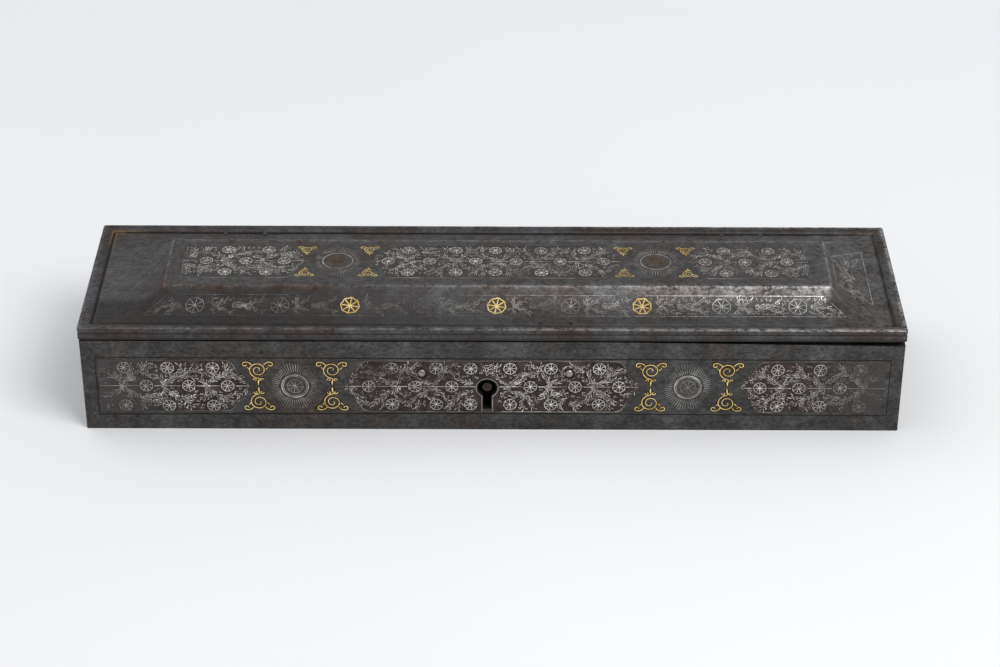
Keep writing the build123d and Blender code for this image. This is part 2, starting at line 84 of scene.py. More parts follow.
# The table and the light. A sheet of pale matt paper lies under the box. Two large soft
# lamps hang over it, the stronger one to the right, in a bright plain room.
def linear(code):
    """The linear colour, with full alpha, of an sRGB hex code."""
    parts = [int(code[i:i + 2], 16) / 255 for i in (1, 3, 5)]
    return tuple(c / 12.92 if c <= 0.04045 else ((c + 0.055) / 1.055) ** 2.4 for c in parts) + (1,)


def feed(tree, node, inputs):
    """Give a node's inputs their values or links."""
    for socket, value in inputs.items():
        if isinstance(value, bpy.types.NodeSocket):
            tree.links.new(value, node.inputs[socket])
        else:
            node.inputs[socket].default_value = value


def add(tree, kind, inputs=None, output=0, **settings):
    """Add a node with its settings and inputs. It gives one of the node's outputs."""
    node = tree.nodes.new(kind)
    for name, value in settings.items():
        setattr(node, name, value)
    feed(tree, node, inputs or {})
    return node.outputs[output]


def ramp(tree, value, *stops):
    """The colour at a value between stops, which are places with sRGB hex codes."""
    colour = add(tree, "ShaderNodeValToRGB", {"Fac": value})
    elements = colour.node.color_ramp.elements
    for number, (place, code) in enumerate(stops):
        if number > 1:
            elements.new(place)
        elements[number].position = place
        elements[number].color = linear(code)
    return colour


def finish_named(name):
    """A new material, its node tree, its Principled shader and the place on its object."""
    material = bpy.data.materials.new(name)
    material.use_nodes = True
    tree = material.node_tree
    place = add(tree, "ShaderNodeTexCoord", output="Object")
    return material, tree, tree.nodes["Principled BSDF"], place


# Matt paper: nearly white, without gloss, with a faint cloudiness some 30 cm across.
paper, tree, shader, place = finish_named("matt_paper")
cloud = add(tree, "ShaderNodeTexNoise", {"Vector": place, "Scale": 3.0, "Detail": 2.0})
feed(tree, shader, {"Base Color": ramp(tree, cloud, (0.3, "#eeeff0"), (0.7, "#f3f3f4")),
                    "Roughness": 0.9, "Specular IOR Level": 0.2})

half = 4
floor_mesh = bpy.data.meshes.new("floor")
floor_mesh.from_pydata([(-half, -half, 0), (half, -half, 0), (half, half, 0), (-half, half, 0)],
                       [], [(0, 1, 2, 3)])
floor_mesh.materials.append(paper)
put("floor", floor_mesh)

world = bpy.data.worlds.new("room")
world.use_nodes = True
feed(world.node_tree, world.node_tree.nodes["Background"],
     {"Color": linear("#f2f4f7"), "Strength": 0.6})
bpy.context.scene.world = world
bpy.context.scene.view_settings.view_transform = "Standard"
for name, spot, size, watts in (
    ("lamp_right", (0.75, -0.75, 1.3), 0.9, 15.0),
    ("lamp_left", (-0.8, 0.3, 1.6), 1.2, 5.0),
):
    lamp_data = bpy.data.lights.new(name, "AREA")
    lamp_data.shape = "SQUARE"
    lamp_data.size = size
    lamp_data.energy = watts
    lamp = put(name, lamp_data)
    lamp.location = spot
    lamp.rotation_mode = "QUATERNION"
    lamp.rotation_quaternion = (-Vector(spot)).to_track_quat("-Z", "Y")


# Body: a floor and four walls of forged sheet iron, brazed at the corners. The iron was
# hammered, scraped and browned, and two centuries of handling have rubbed it to a dull
# slate grey with brown clouds.
def maths(tree, operation, *values, **settings):
    """The result of a sum on one to three values."""
    return add(tree, "ShaderNodeMath", dict(enumerate(values)), operation=operation, **settings)


def ranged(tree, value, low, high, new_low=0.0, new_high=1.0):
    """A value brought from the range low to high into a new one."""
    return add(tree, "ShaderNodeMapRange",
               {"Value": value, "From Min": low, "From Max": high, "To Min": new_low,
                "To Max": new_high})


def specks(tree, place, across, detail, roughness=0.5):
    """Noise from 0 to 1 whose specks are about that many metres across."""
    return add(tree, "ShaderNodeTexNoise", {"Vector": place, "Scale": 1 / across,
                                            "Detail": detail, "Roughness": roughness})


def mixed(tree, share, below, over):
    """One colour laid over another in the given share."""
    return add(tree, "ShaderNodeMix", {0: share, 6: below, 7: over}, 2, data_type="RGBA")


def carried(tree, name):
    """The attribute of that name that a piece carries."""
    return add(tree, "ShaderNodeAttribute", output="Fac", attribute_name=name)


def bumped(tree, height, strength, depth, under=None):
    """The normal of a relief, which may lie on another one."""
    inputs = {"Height": height, "Strength": strength, "Distance": depth}
    if under:
        inputs["Normal"] = under
    return add(tree, "ShaderNodeBump", inputs)


def patinated_iron(name, cloudy, brown, slate, polish, rust_share):
    """Browned sheet iron. Its pieces may carry the attributes rub (worn edges and painted
    highlights), grime (black wax and painted shade), dust and rust, 0 to 1.

    Broad clouds are 25 mm across, mottling 5 mm, grain 1 mm, polishing lines 0.8 mm apart
    and pits 0.5 mm, the last three drawn twice as coarse as real ones so that they show.
    """
    material, tree, shader, place = finish_named(name)
    along, drawn = (add(tree, "ShaderNodeMapping", {"Vector": place, "Scale": (squeezed, 1, 1)})
                    for squeezed in (0.04, 0.65))
    clouds = specks(tree, place, 0.025, 5.0, 0.65)
    mottle = specks(tree, place, 0.005, 7.0, 0.68)
    grain = specks(tree, drawn, 0.001, 3.0, 0.7)
    lines = specks(tree, along, 0.0008, 4.0, 0.6)
    pits = specks(tree, place, 0.0005, 3.0, 0.6)
    smear = ranged(tree, mottle, 0.35, 0.68, 0.78, 1.28)
    speck = ranged(tree, grain, 0.32, 0.68, 0.66, 1.4)
    fine = ranged(tree, lines, 0.3, 0.7, 0.9, 1.1)
    uneven = maths(tree, "MULTIPLY", maths(tree, "MULTIPLY", smear, fine), speck)
    patina = ramp(tree, clouds, (0.38, brown), (0.48, cloudy), (0.6, slate))
    toned = add(tree, "ShaderNodeVectorMath", {0: patina, "Scale": uneven}, operation="SCALE")

    # Rust: warm brown crusts in the pits, thick where the piece carries the attribute.
    crust = specks(tree, place, 0.004, 9.0, 0.75)
    bias = maths(tree, "MULTIPLY_ADD", carried(tree, "rust"), 0.28, rust_share)
    rusty = ranged(tree, maths(tree, "ADD", crust, bias), 0.62, 0.8, 0.0, 0.85)
    rust_tone = ramp(tree, grain, (0.36, "#2a1f19"), (0.64, "#6e4830"))

    # Grime, painted shade and dust: black wax in the grooves, with painted shade darkening grooves,
    # the seam and the moulding's inner face, and tan dust packed into inner corners.
    layers, dull = mixed(tree, rusty, toned, rust_tone), rusty
    for attribute, tint in (("grime_and_shade", "#15110e"), ("dust", "#6e5639")):
        cover = maths(tree, "MULTIPLY", carried(tree, attribute), speck, use_clamp=True)
        layers = mixed(tree, cover, layers, linear(tint))
        dull = maths(tree, "MAXIMUM", dull, cover)

    # Rub and painted highlights: edges that hands and cloths have worn back to bright iron, in
    # broken streaks, and painted highlights along the arrises, hips and bead, stronger towards the
    # lamp on the right.
    streaks = maths(tree, "ADD", grain, mottle)
    patchy = ranged(tree, streaks, 0.84, 1.16, 0.0, 1.3)
    worn_or_highlit = maths(tree, "MULTIPLY", carried(tree, "rub_and_highlight"), patchy, use_clamp=True)
    gloss = ranged(tree, streaks, 0.7, 1.3, polish + 0.12, polish - 0.1)
    tooled = bumped(tree, maths(tree, "MULTIPLY_ADD", mottle, 0.7, rusty), 0.5, 0.00012)
    scored = bumped(tree, lines, 0.4, 0.00005, tooled)
    feed(tree, shader, {
        "Base Color": mixed(tree, worn_or_highlit, layers, linear("#aeaaa6")),
        "Metallic": ranged(tree, dull, 0.0, 1.0, 0.85, 0.05),
        "Roughness": maths(tree, "MULTIPLY_ADD", dull, 0.35, gloss, use_clamp=True),
        "Normal": bumped(tree, pits, 0.5, 0.00005, scored),
    })
    return material


def dress(names, material):
    """Give CAD nodes a finish in place of the one they came with."""
    for name in names:
        mesh = nodes[name].data
        mesh.materials.clear()
        mesh.materials.append(material)


wall_iron = patinated_iron("patinated_sheet_iron", "#434241", "#4b4541", "#504f4e", 0.48, 0.0)
dress(["front_wall", "back_wall", "left_end_wall", "right_end_wall", "bottom_plate"], wall_iron)


# Silver and gold work on the front. Fine wire and leaf are laid on ground that was cut
# with a knife, hammered flat and burnished, so that they stand a hair above the iron.
wire_height = 0.12
front_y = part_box("front_wall")[0].y / MM


def inlay_metal(name, fresh, tarnish, shine, ground):
    """Burnished wire whose attribute wear, 0 to 1, gives the share that has rubbed away.

    Loss comes and goes in 9 mm clouds, tarnish in 2.5 mm ones, both with 1 mm flecks.
    """
    material, tree, shader, place = finish_named(name)
    clouds = specks(tree, place, 0.009, 2.0)
    films = specks(tree, place, 0.0025, 2.0)
    flecks = specks(tree, place, 0.001, 3.0, 0.65)
    both = maths(tree, "MULTIPLY_ADD", clouds, 0.9, flecks)
    film = maths(tree, "MULTIPLY_ADD", films, 0.7, flecks)
    tone = ramp(tree, film, (0.7, tarnish), (0.96, fresh))
    gone = ranged(tree, maths(tree, "MULTIPLY_ADD", carried(tree, "wear"), 1.1, both), 1.0, 1.75)
    feed(tree, shader, {
        "Base Color": mixed(tree, gone, tone, linear(ground)),
        "Metallic": 0.9,
        "Roughness": ranged(tree, flecks, 0.3, 0.7, shine + 0.12, shine - 0.06),
        "Normal": bumped(tree, flecks, 0.4, 0.00005),
    })
    return material


silver = inlay_metal("burnished_silver_wire", "#fffcf4", "#9f968c", 0.34, "#57524f")
gold = inlay_metal("burnished_gold_leaf", "#ffeaa6", "#d3a950", 0.32, "#6a5230")
black_line = inlay_metal("blackened_groove", "#1f1d1d", "#2a2624", 0.6, "#3a3634")


def new_tree(name, sizes):
    """A geometry tree with named inputs for its sizes, a seed and a finish."""
    tree = bpy.data.node_groups.new(name, "GeometryNodeTree")
    kinds = {"Geometry": "Geometry", **dict.fromkeys(sizes, "Float"), "Seed": "Int",
             "Finish": "Material"}
    for item, kind in kinds.items():
        tree.interface.new_socket(item, in_out="INPUT", socket_type="NodeSocket" + kind)
    tree.interface.new_socket("Geometry", in_out="OUTPUT", socket_type="NodeSocketGeometry")
    return tree, tree.nodes.new("NodeGroupInput").outputs


def close_tree(tree, geometry, finish):
    """End a tree in real geometry with its finish set."""
    real = add(tree, "GeometryNodeRealizeInstances", {"Geometry": geometry})
    flat = add(tree, "GeometryNodeSetShadeSmooth", {"Geometry": real, "Shade Smooth": False})
    done = add(tree, "GeometryNodeSetMaterial", {"Geometry": flat, "Material": finish})
    feed(tree, tree.nodes.new("NodeGroupOutput"), {"Geometry": done})
    return tree


def hammered_wire(tree, curve, width, height, scale):
    """Flat wire of the given width and height along a curve in the plane."""
    upright = add(tree, "GeometryNodeSetCurveNormal", {"Curve": curve}, mode="Z_UP")
    section = add(tree, "GeometryNodeCurvePrimitiveQuadrilateral",
                  {"Width": width, "Height": height})
    return add(tree, "GeometryNodeCurveToMesh",
               {"Curve": upright, "Profile Curve": section, "Scale": scale, "Fill Caps": True})


def own_size(tree):
    """The thickness that each point of a drawing carries."""
    return add(tree, "GeometryNodeInputNamedAttribute", {"Name": "thick"}, "Attribute",
               data_type="FLOAT")


def drawn_wire(tree, given):
    """The curve that a drawing gives, and the wire laid along it."""
    path = add(tree, "GeometryNodeMeshToCurve", {"Mesh": given["Geometry"]})
    return path, hammered_wire(tree, path, given["Width"], given["Height"], own_size(tree))


def together(tree, *parts):
    """Parts joined into one."""
    join = tree.nodes.new("GeometryNodeJoinGeometry")
    for part in parts:
        tree.links.new(part, join.inputs[0])
    return join.outputs[0]


def by_chance(tree, low, high, seed):
    """A random number for each point."""
    return add(tree, "FunctionNodeRandomValue", {2: low, 3: high, "Seed": seed}, 1,
               data_type="FLOAT")


def turned_by(tree, angle):
    """A turn in the plane."""
    return add(tree, "ShaderNodeCombineXYZ", {"Z": angle})


tree, given = new_tree("laid_wire", ["Width", "Height"])
laid_wire = close_tree(tree, drawn_wire(tree, given)[1], given["Finish"])

# A leafy stem: the wire itself, and comma leaves of uneven length that lean forward along
# it, of which the punch or the years have left some out. A leaf is drawn 1 long and then
# scaled, so its width and belly are shares of its length.
leaf_width = 0.16
leaf_share_kept = 0.88
shortest_leaf, longest_leaf = 0.5, 1.15
tree, given = new_tree("leafy_stem", ["Width", "Height", "Spacing", "Leaf", "Lean"])
path, stem = drawn_wire(tree, given)
beads = add(tree, "GeometryNodeCurveToPoints",
            {"Curve": path, "Length": given["Spacing"]}, mode="LENGTH")
heading = add(tree, "ShaderNodeSeparateXYZ", {"Vector": beads.node.outputs["Tangent"]})
angle = maths(tree, "ARCTAN2", heading.node.outputs["Y"], heading.node.outputs["X"])
leaf_height = maths(tree, "DIVIDE", given["Height"], given["Leaf"])
belly = ranged(tree, add(tree, "GeometryNodeSplineParameter"), 0.0, 1.0, 0.4, 1.2)
leaves = []
for side in (1, -1):
    blade = add(tree, "GeometryNodeCurveQuadraticBezier",
                {"Resolution": 3, "Start": (0.05, 0, 0), "Middle": (0.5, 0.28 * side, 0),
                 "End": (1, -0.04 * side, 0)})
    own = maths(tree, "ADD", given["Seed"], side * 5.0 + 40.0)
    more = maths(tree, "ADD", own, 3.0)
    tilt = maths(tree, "MULTIPLY_ADD", given["Lean"], side, by_chance(tree, -0.25, 0.25, own))
    size = maths(tree, "MULTIPLY", given["Leaf"],
                 by_chance(tree, shortest_leaf, longest_leaf, more))
    kept = add(tree, "FunctionNodeRandomValue", {"Probability": leaf_share_kept, "Seed": more}, 3,
               data_type="BOOLEAN")
    leaves.append(add(tree, "GeometryNodeInstanceOnPoints",
                      {"Points": beads, "Selection": kept,
                       "Instance": hammered_wire(tree, blade, leaf_width, leaf_height, belly),
                       "Rotation": turned_by(tree, maths(tree, "ADD", angle, tilt)),
                       "Scale": size}))
leafy_stem = close_tree(tree, together(tree, stem, *leaves), given["Finish"])

# A rosette: eight spokes and eight bowed petals round a stud, drawn 1 in radius. Its points
# carry the radius that it is scaled to, about 2.5, so its height is drawn lower.
petals = 8
tree, given = new_tree("rosettes", ["Width", "Height"])
low_height = maths(tree, "MULTIPLY", given["Height"], 0.38)
petal = add(tree, "GeometryNodeCurveQuadraticBezier",
            {"Resolution": 4, "Start": (0.85, -0.352, 0), "Middle": (1.2, 0, 0),
             "End": (0.85, 0.352, 0)})
spoke = add(tree, "GeometryNodeCurvePrimitiveLine", {"Start": (0.08, 0, 0), "End": (0.93, 0, 0)})
strokes = [hammered_wire(tree, part, given["Width"], low_height, share)
           for part, share in ((petal, 0.75), (spoke, 0.85))]
ring = add(tree, "GeometryNodePoints", {"Count": petals})
step = maths(tree, "MULTIPLY", add(tree, "GeometryNodeInputIndex"), 2 * math.pi / petals)
flower = add(tree, "GeometryNodeInstanceOnPoints",
             {"Points": ring, "Instance": together(tree, *strokes),
              "Rotation": turned_by(tree, step)})
stud = add(tree, "GeometryNodeMeshCylinder",
           {"Vertices": petals, "Radius": 0.16, "Depth": low_height})
centres = add(tree, "GeometryNodeMeshToPoints", {"Mesh": given["Geometry"]})
twist = by_chance(tree, -0.4, 0.4, given["Seed"])
flowers = add(tree, "GeometryNodeInstanceOnPoints",
              {"Points": centres, "Instance": together(tree, flower, stud),
               "Rotation": turned_by(tree, twist), "Scale": own_size(tree)})
rosettes = close_tree(tree, flowers, given["Finish"])


def grow(tree, lines, finish, **sizes):
    """The mesh that a tree makes from drawn lines or points, all in millimetres.

    A line is a list of (x, y, thickness) points; a point alone is a line of one.
    """
    points, edges = [], []
    for line in lines:
        edges += [(len(points) + i, len(points) + i + 1) for i in range(len(line) - 1)]
        points += [tuple(p) if len(p) == 3 else (*p, 1.0) for p in line]
    drawing = bpy.data.meshes.new(tree.name)
    drawing.from_pydata([(x, y, 0) for x, y, _ in points], edges, [])
    thickness = drawing.attributes.new("thick", "FLOAT", "POINT")
    thickness.data.foreach_set("value", [t for _, _, t in points])
    maker = put(tree.name, drawing)
    modifier = maker.modifiers.new("maker", "NODES")
    modifier.node_group = tree
    values = {"Finish": finish, "Height": wire_height, **sizes}
    for item in tree.interface.items_tree:
        if item.in_out == "INPUT" and item.name in values:
            modifier[item.identifier] = values[item.name]
    evaluated = maker.evaluated_get(bpy.context.evaluated_depsgraph_get())
    grown = bpy.data.meshes.new_from_object(evaluated)
    bpy.data.objects.remove(maker)
    return grown


def new_piece(name, mesh, body, replaced=None):
    """Put a finished mesh in the scene, on its body and in place of its CAD node."""
    piece = put(name, mesh)
    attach(piece, body)
    if replaced:
        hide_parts(replaced)


def lay(name, meshes, finish, place, worn, body):
    """Join flat meshes into one piece of one finish and lay it on a surface.

    place turns flat x and y into a point on the surface and its outward normal, in
    millimetres, and worn gives the share lost there.
    """
    joined = bmesh.new()
    for mesh in meshes:
        joined.from_mesh(mesh)
    mesh = bpy.data.meshes.new(name)
    joined.to_mesh(mesh)
    joined.free()
    flat = np.zeros(len(mesh.vertices) * 3)
    mesh.vertices.foreach_get("co", flat)
    flat = flat.reshape(-1, 3)
    point, normal = place(flat[:, 0], flat[:, 1])
    mesh.vertices.foreach_set("co", ((point + normal * flat[:, 2:]) * MM).ravel())
    wear = mesh.attributes.new("wear", "FLOAT", "POINT")
    wear.data.foreach_set("value", np.clip(worn(flat[:, 0], flat[:, 1]), 0, 1))
    mesh.materials.append(finish)
    mesh.polygons.foreach_set("material_index", np.zeros(len(mesh.polygons), int))
    mesh.update()
    new_piece(name, mesh, body)


def lay_wire(name, lines, finish, width, place, worn, body, height=wire_height):
    """Lay drawn lines on a surface as one piece of plain wire."""
    lay(name, [grow(laid_wire, lines, finish, Width=width, Height=height)], finish, place,
        worn, body)


def evenly(share):
    """Wear that is the same all over a piece."""
    return lambda x, y: np.full_like(x, share)


def curve(*corners, steps=8, start=1.0, end=1.0):
    """A Bezier through the given control points, as points with a tapering thickness."""
    line = []
    for i in range(steps + 1):
        t = i / steps
        level = [np.array(c, float) for c in corners]
        while len(level) > 1:
            level = [a + (b - a) * t for a, b in zip(level, level[1:])]
        line.append((*level[0], start + (end - start) * t))
    return line


def spiral(x, y, inner, outer, turns, angle, winding, steps=22):
    """A volute about (x, y) that opens from its inner to its outer radius.

    It ends at the given angle, and winds anticlockwise where winding is 1.
    """
    line = []
    for i in range(steps + 1):
        t = i / steps
        r = inner + (outer - inner) * t ** 0.7
        a = angle - winding * (1 - t) * turns * 2 * math.pi
        line.append((x + r * math.cos(a), y + r * math.sin(a), 0.75 + 0.35 * t))
    return line


def sprays(mids, pitch, out, middle, rise, first, last, forked):
    """Leafy branches that leave the middle stem by each rosette and curl round the next ones.

    out is the way they grow, 1 to the right or -1 to the left. Forked ones are the middle
    panels' long boughs below the stem with short ones above; the others part evenly. A
    bough's points are shares of the pitch along the stem and of the rise away from it.
    """
    long_bough = [
        [(0.34, 0.02), (0.5, 0.12), (0.66, 0.5), (0.95, 0.92)],
        [(0.92, 0.86), (1.06, 0.98), (1.2, 0.9), (1.36, 0.5)],
        [(0.93, 0.9), (1.02, 1.22), (1.16, 1.36), (1.32, 1.38)],
        [(0.78, 0.7), (0.72, 1.0), (0.72, 1.3), (0.9, 1.38)],
        [(0.42, 0.05), (0.36, 0.3), (0.22, 0.52), (0.08, 0.5)],
        [(0.6, 0.34), (0.74, 0.3), (0.82, 0.42), (0.86, 0.5)],
        [(0.66, 0.5), (0.52, 0.5), (0.4, 0.6), (0.3, 0.74)],
    ]
    short_bough = [
        [(0.4, 0.12), (0.34, 0.4), (0.22, 0.62), (0.16, 0.92)],
        [(0.18, 0.82), (0.18, 1.1), (0.26, 1.28), (0.36, 1.36)],
        [(0.2, 0.8), (0.06, 0.86), (-0.08, 0.8), (-0.2, 0.62)],
        [(0.4, 0.12), (0.52, 0.22), (0.66, 0.3), (0.84, 0.34)],
        [(0.14, 1.0), (0.04, 1.2), (-0.06, 1.3), (-0.16, 1.3)],
        [(0.52, 0.04), (0.72, 0.3), (0.84, 0.7), (1.02, 1.02)],
        [(0.76, 0.5), (0.66, 0.7), (0.64, 1.0), (0.74, 1.32)],
    ]
    even_bough = [
        [(0.34, 0.04), (0.62, 0.14), (0.7, 0.92), (1.0, 1.02), (1.3, 0.6)],
        [(0.55, 0.24), (0.56, 0.5), (0.72, 0.9), (0.7, 1.28)],
        [(0.8, 0.62), (0.98, 0.56), (1.14, 0.62), (1.26, 0.46)],
        [(0.94, 0.92), (1.0, 1.16), (1.12, 1.32), (1.26, 1.36)],
        [(0.44, 0.06), (0.42, 0.34), (0.3, 0.5), (0.16, 0.52)],
        [(0.9, 0.84), (0.84, 1.1), (0.86, 1.28), (0.96, 1.36)],
        [(0.74, 0.48), (0.6, 0.44), (0.5, 0.5), (0.36, 0.66)],
    ]
    below, over = (long_bough, short_bough) if forked else (even_bough, even_bough)
    lines = []
    for strand in range(len(even_bough)):
        for number, mid in enumerate(mids):
            for side, bough in ((-1, below), (1, over)):
                sway = 0.05 * math.sin(7.3 * number + 2.1 * strand + side)
                bent = [(mid + (px + sway * i) * pitch * out, middle + side * (py + sway) * rise)
                        for i, (px, py) in enumerate(bough[strand])]
                lines.append(curve(*bent, steps=12 if strand == 0 else 7, start=1.1, end=0.5))
    low, high = min(first, last), max(first, last)
    return [[p for p in line if low <= p[0] <= high] for line in lines
            if sum(low <= p[0] <= high for p in line) > 2]


def on_front(x, z):
    """Flat x and y as x and z on the front wall."""
    point = np.stack([x, np.full_like(x, front_y), z], 1)
    return point, np.tile((0.0, -1.0, 0.0), (len(x), 1))


def bump_at(value, centre, width):
    """1 at the centre, falling softly to 0 about a width away."""
    return np.exp(-((value - centre) / width) ** 2)


def front_wear(x, z):
    """The silver is nearly gone towards both ends, and thin round the roundels."""
    ends = np.clip((np.abs(x + 2) - 112) / 30, 0, 1)
    left_centre = np.clip((-x - 4) / 12, 0, 1) * np.clip((x + 60) / 10, 0, 1)
    right = 0.12 * np.clip((x - 90) / 10, 0, 1)
    return 0.05 + 0.5 * ends ** 0.8 + (0.2 + 0.15 * (z > 21)) * left_centre + right


def knife_cut_ground(name, around):
    """Iron scored crosswise for the wire to grip, and left dark and dull.

    The scores are 0.5 mm apart, drawn wider than real ones. Towards the places that the
    attribute wear marks, the iron is rubbed back to the plain colour around it.
    """
    material, tree, shader, place = finish_named(name)
    crossed = []
    for turn in (0.7, -0.8):
        slant = add(tree, "ShaderNodeMapping", {"Vector": place, "Rotation": (turn, turn, turn)})
        crossed.append(add(tree, "ShaderNodeTexWave",
                           {"Vector": slant, "Scale": 0.3 / 0.0005, "Distortion": 1.5,
                            "Detail": 1.0}, "Fac"))
    scored = maths(tree, "MULTIPLY", *crossed)
    cloud = specks(tree, place, 0.003, 6.0, 0.7)
    tone = ramp(tree, cloud, (0.34, "#2d2524"), (0.52, "#403735"), (0.7, "#5a504d"))
    rubbed = maths(tree, "MULTIPLY", carried(tree, "wear"), cloud, use_clamp=True)
    plain = maths(tree, "MULTIPLY", rubbed, 1.7, use_clamp=True)
    feed(tree, shader, {
        "Base Color": mixed(tree, plain, tone, linear(around)),
        "Metallic": 0.75,
        "Roughness": ranged(tree, scored, 0.0, 1.0, 0.62, 0.46),
        "Normal": bumped(tree, scored, 0.5, 0.00005),
    })
    return material


ground = knife_cut_ground("knife_cut_wall", "#4d4a49")


def slab(x, low, high, rows=10):
    """A thin plate between two edges, whose heights low and high are given at each x."""
    x, low, high = (np.asarray(v, float) for v in (x, low, high))
    share = np.linspace(0, 1, rows)
    y = low[:, None] + (high - low)[:, None] * share
    top = [(a, b, 0.03) for a, line in zip(x, y) for b in line]
    below = [(a, b, -0.02) for a, b, _ in top]
    n, half = len(x), len(top)
    faces = []
    for i in range(n - 1):
        for j in range(rows - 1):
            a = i * rows + j
            faces.append((a, a + rows, a + rows + 1, a + 1))
            faces.append((half + a, half + a + 1, half + a + rows + 1, half + a + rows))
        for a, b in ((i * rows + rows, i * rows), (i * rows + rows - 1, i * rows + 2 * rows - 1)):
            faces.append((a, b, half + b, half + a))
    for j in range(rows - 1):
        a, b = j, (n - 1) * rows + j
        faces += [(a, a + 1, half + a + 1, half + a), (b + 1, b, half + b, half + b + 1)]
    mesh = bpy.data.meshes.new("slab")
    mesh.from_pydata(top + below, [], faces)
    return mesh


def narrowing(x, ends, tips):
    """The height of a panel at x as a share of its full height: its ends may be pointed."""
    x = np.asarray(x, float)
    out = np.maximum((ends[0] - x) / max(tips[0], 0.1), (x - ends[1]) / max(tips[1], 0.1))
    return 1 - np.clip(out, 0, 0.97) ** 1.6


def field(ends, low, high, middle, tips, step=2.0):
    """The scored plate of one panel. tips gives how far its ends run out into points."""
    x = np.arange(ends[0] - tips[0], ends[1] + tips[1] + 0.01, step)
    narrow = narrowing(x, ends, tips)
    return slab(x, middle + (low - middle) * narrow, middle + (high - middle) * narrow)


hole_x, hole_z, hole_radius, slot_half = -1.85, 18.2, 3.6, 1.55
clearing = 0.45
rim, slot_rim = hole_radius + clearing, slot_half + clearing
rivet_places, rivet_z = (-25.7, 28.0), 24.6
row_middle, row_rise = 18.8, 7.8
panel_low, panel_high = 7.9, 29.8
left_ends, centre_ends, right_ends = (-143.4, -97.5), (-45, 45), (99.5, 143.6)
left_mids, left_outer = [-126.3, -110.8, -96.6], [-134.1, -118.2, -101.8]
centre_mids = [-45.1, -28.2, -14.8, 13.9, 30.3, 46.3]
centre_outer = [-36.6, -20.5, -7.9, 6.5, 21.4, 39.0]
right_mids, right_outer = [97.7, 112.0, 126.9], [103.9, 119.4, 134.0]


def apart(lines, rounds, within):
    """Cut lines where they run into the rounds, out of the panel or into earlier lines.

    A line's root may touch its parent. It also gives the rounds with the lines' own
    points added.
    """
    taken, kept = list(rounds), []
    for line in lines:
        places = np.array(taken)
        parts, part = [], []
        for number, point in enumerate(line):
            near = places[:len(rounds)] if number < 3 else places
            gap = np.hypot(near[:, 0] - point[0], near[:, 1] - point[1]) - near[:, 2]
            if gap.min() > 0 and within(*point[:2]):
                part.append(point)
            else:
                parts.append(part)
                part = []
        for part in [p for p in [*parts, part] if len(p) > 3]:
            kept.append(part)
            taken += [(x, y, 0.8) for x, y, _ in part]
    return kept, taken


def commas(across, upward, within, taken, seed, root, pitch=1.75):
    """Pairs of small curled leaves, 1 mm long, that fill the gaps between the branches.

    They lean as the branches do, which grow both ways from root.
    """
    chance = np.random.default_rng(seed)
    places, strokes = np.array(taken), []
    for x in np.arange(*across, pitch):
        for y in np.arange(*upward, pitch):
            spot = np.array((x, y)) + chance.uniform(-0.5, 0.5, 2)
            heading = math.atan2(1.0 if y > sum(upward) / 2 else -1.0, 1.0 if x > root else -1.0)
            heading += chance.uniform(-0.5, 0.5)
            bend = chance.choice((-0.5, 0.5))
            gap = np.hypot(places[:, 0] - spot[0], places[:, 1] - spot[1]) - places[:, 2]
            if gap.min() < 0.5 or not within(*spot):
                continue
            foot = spot - 0.5 * np.array((math.cos(heading), math.sin(heading)))
            for turn, long in ((0.4, 1.3), (-0.5, 0.9)):
                strokes.append(curve(
                    foot, foot + long * 0.6 * np.array((math.cos(heading + turn - bend),
                                                        math.sin(heading + turn - bend))),
                    foot + long * np.array((math.cos(heading + turn), math.sin(heading + turn))),
                    steps=2, start=0.7, end=1.3))
    return strokes


def floral_panel(mids, outers, ends, tips, root, seed, middle=row_middle, rise=row_rise,
                 shift=(0, 0), wire=0.11, gaps=(), holes=(), forked=False):
    """The silver of one panel: its stem, branches and rosettes, and its small curls.

    mids and outers are the places of the rosettes on the stem and in the rows above and
    below it, and shift moves the lower row. The branches grow both ways from root, the
    place of the stem's foot. Nothing lies in the gaps of the stem or in the holes.
    """
    size, pitch = 2.35, 15.6

    def within(x, y):
        return abs(y - middle) < rise * 1.26 * narrowing(x, ends, tips) - 0.3

    first, last = ends[0] - tips[0], ends[1] + tips[1]
    fronds = []
    for out in (-1, 1):
        here = [m for m in mids if (m - root) * out > 0]
        if here:
            nearest = min(here, key=lambda m: abs(m - root))
            here.append(nearest - 15.2 * out)
        fronds += sprays(here, pitch, out, middle, rise, first + 1.0, last - 1.0, forked)
    stems, x = [], first
    breaks = sorted([*gaps, (last, last), *((m - 2.9, m + 2.9) for m in mids)])
    for gap_start, gap_end in breaks:
        if gap_start > x:
            towards = (x, gap_start) if (x + gap_start) / 2 > root else (gap_start, x)
            stems.append([(towards[0], middle, 1.5), (towards[1], middle, 0.5)])
        x = max(x, gap_end)
    spots = [[(m, middle, size)] for m in mids]
    spots += [[(m, middle + rise, size)] for m in outers]
    spots += [[(m + shift[0], middle - rise + shift[1], size)] for m in outers]
    clear = [(*p[0][:2], size * 1.25) for p in spots] + list(holes)
    fronds, taken = apart(fronds, clear, within)
    taken += [(x, middle, 0.4) for x in np.arange(first, last, 0.5)]
    curls = commas((first + 0.6, last), (middle - rise * 1.25, middle + rise * 1.25), within,
                   taken, seed, root)
    clear_parts = [
        grow(laid_wire, stems, silver, Width=0.2),
        grow(leafy_stem, fronds, silver, Width=0.14, Spacing=1.0, Leaf=1.5, Lean=0.72,
             Seed=seed),
        grow(rosettes, spots, silver, Width=wire, Seed=seed),
    ]
    return clear_parts, [grow(laid_wire, curls, silver, Width=0.14)]


def lay_panels(name, panels, place, worn, body):
    """Lay floral panels, their small curls as a piece of their own that is more worn."""
    lay(name, [part for panel in panels for part in panel[0]], silver, place, worn, body)
    lay(name + "_curls", [part for panel in panels for part in panel[1]], silver, place,
        lambda x, y: worn(x, y) + 0.18, body)


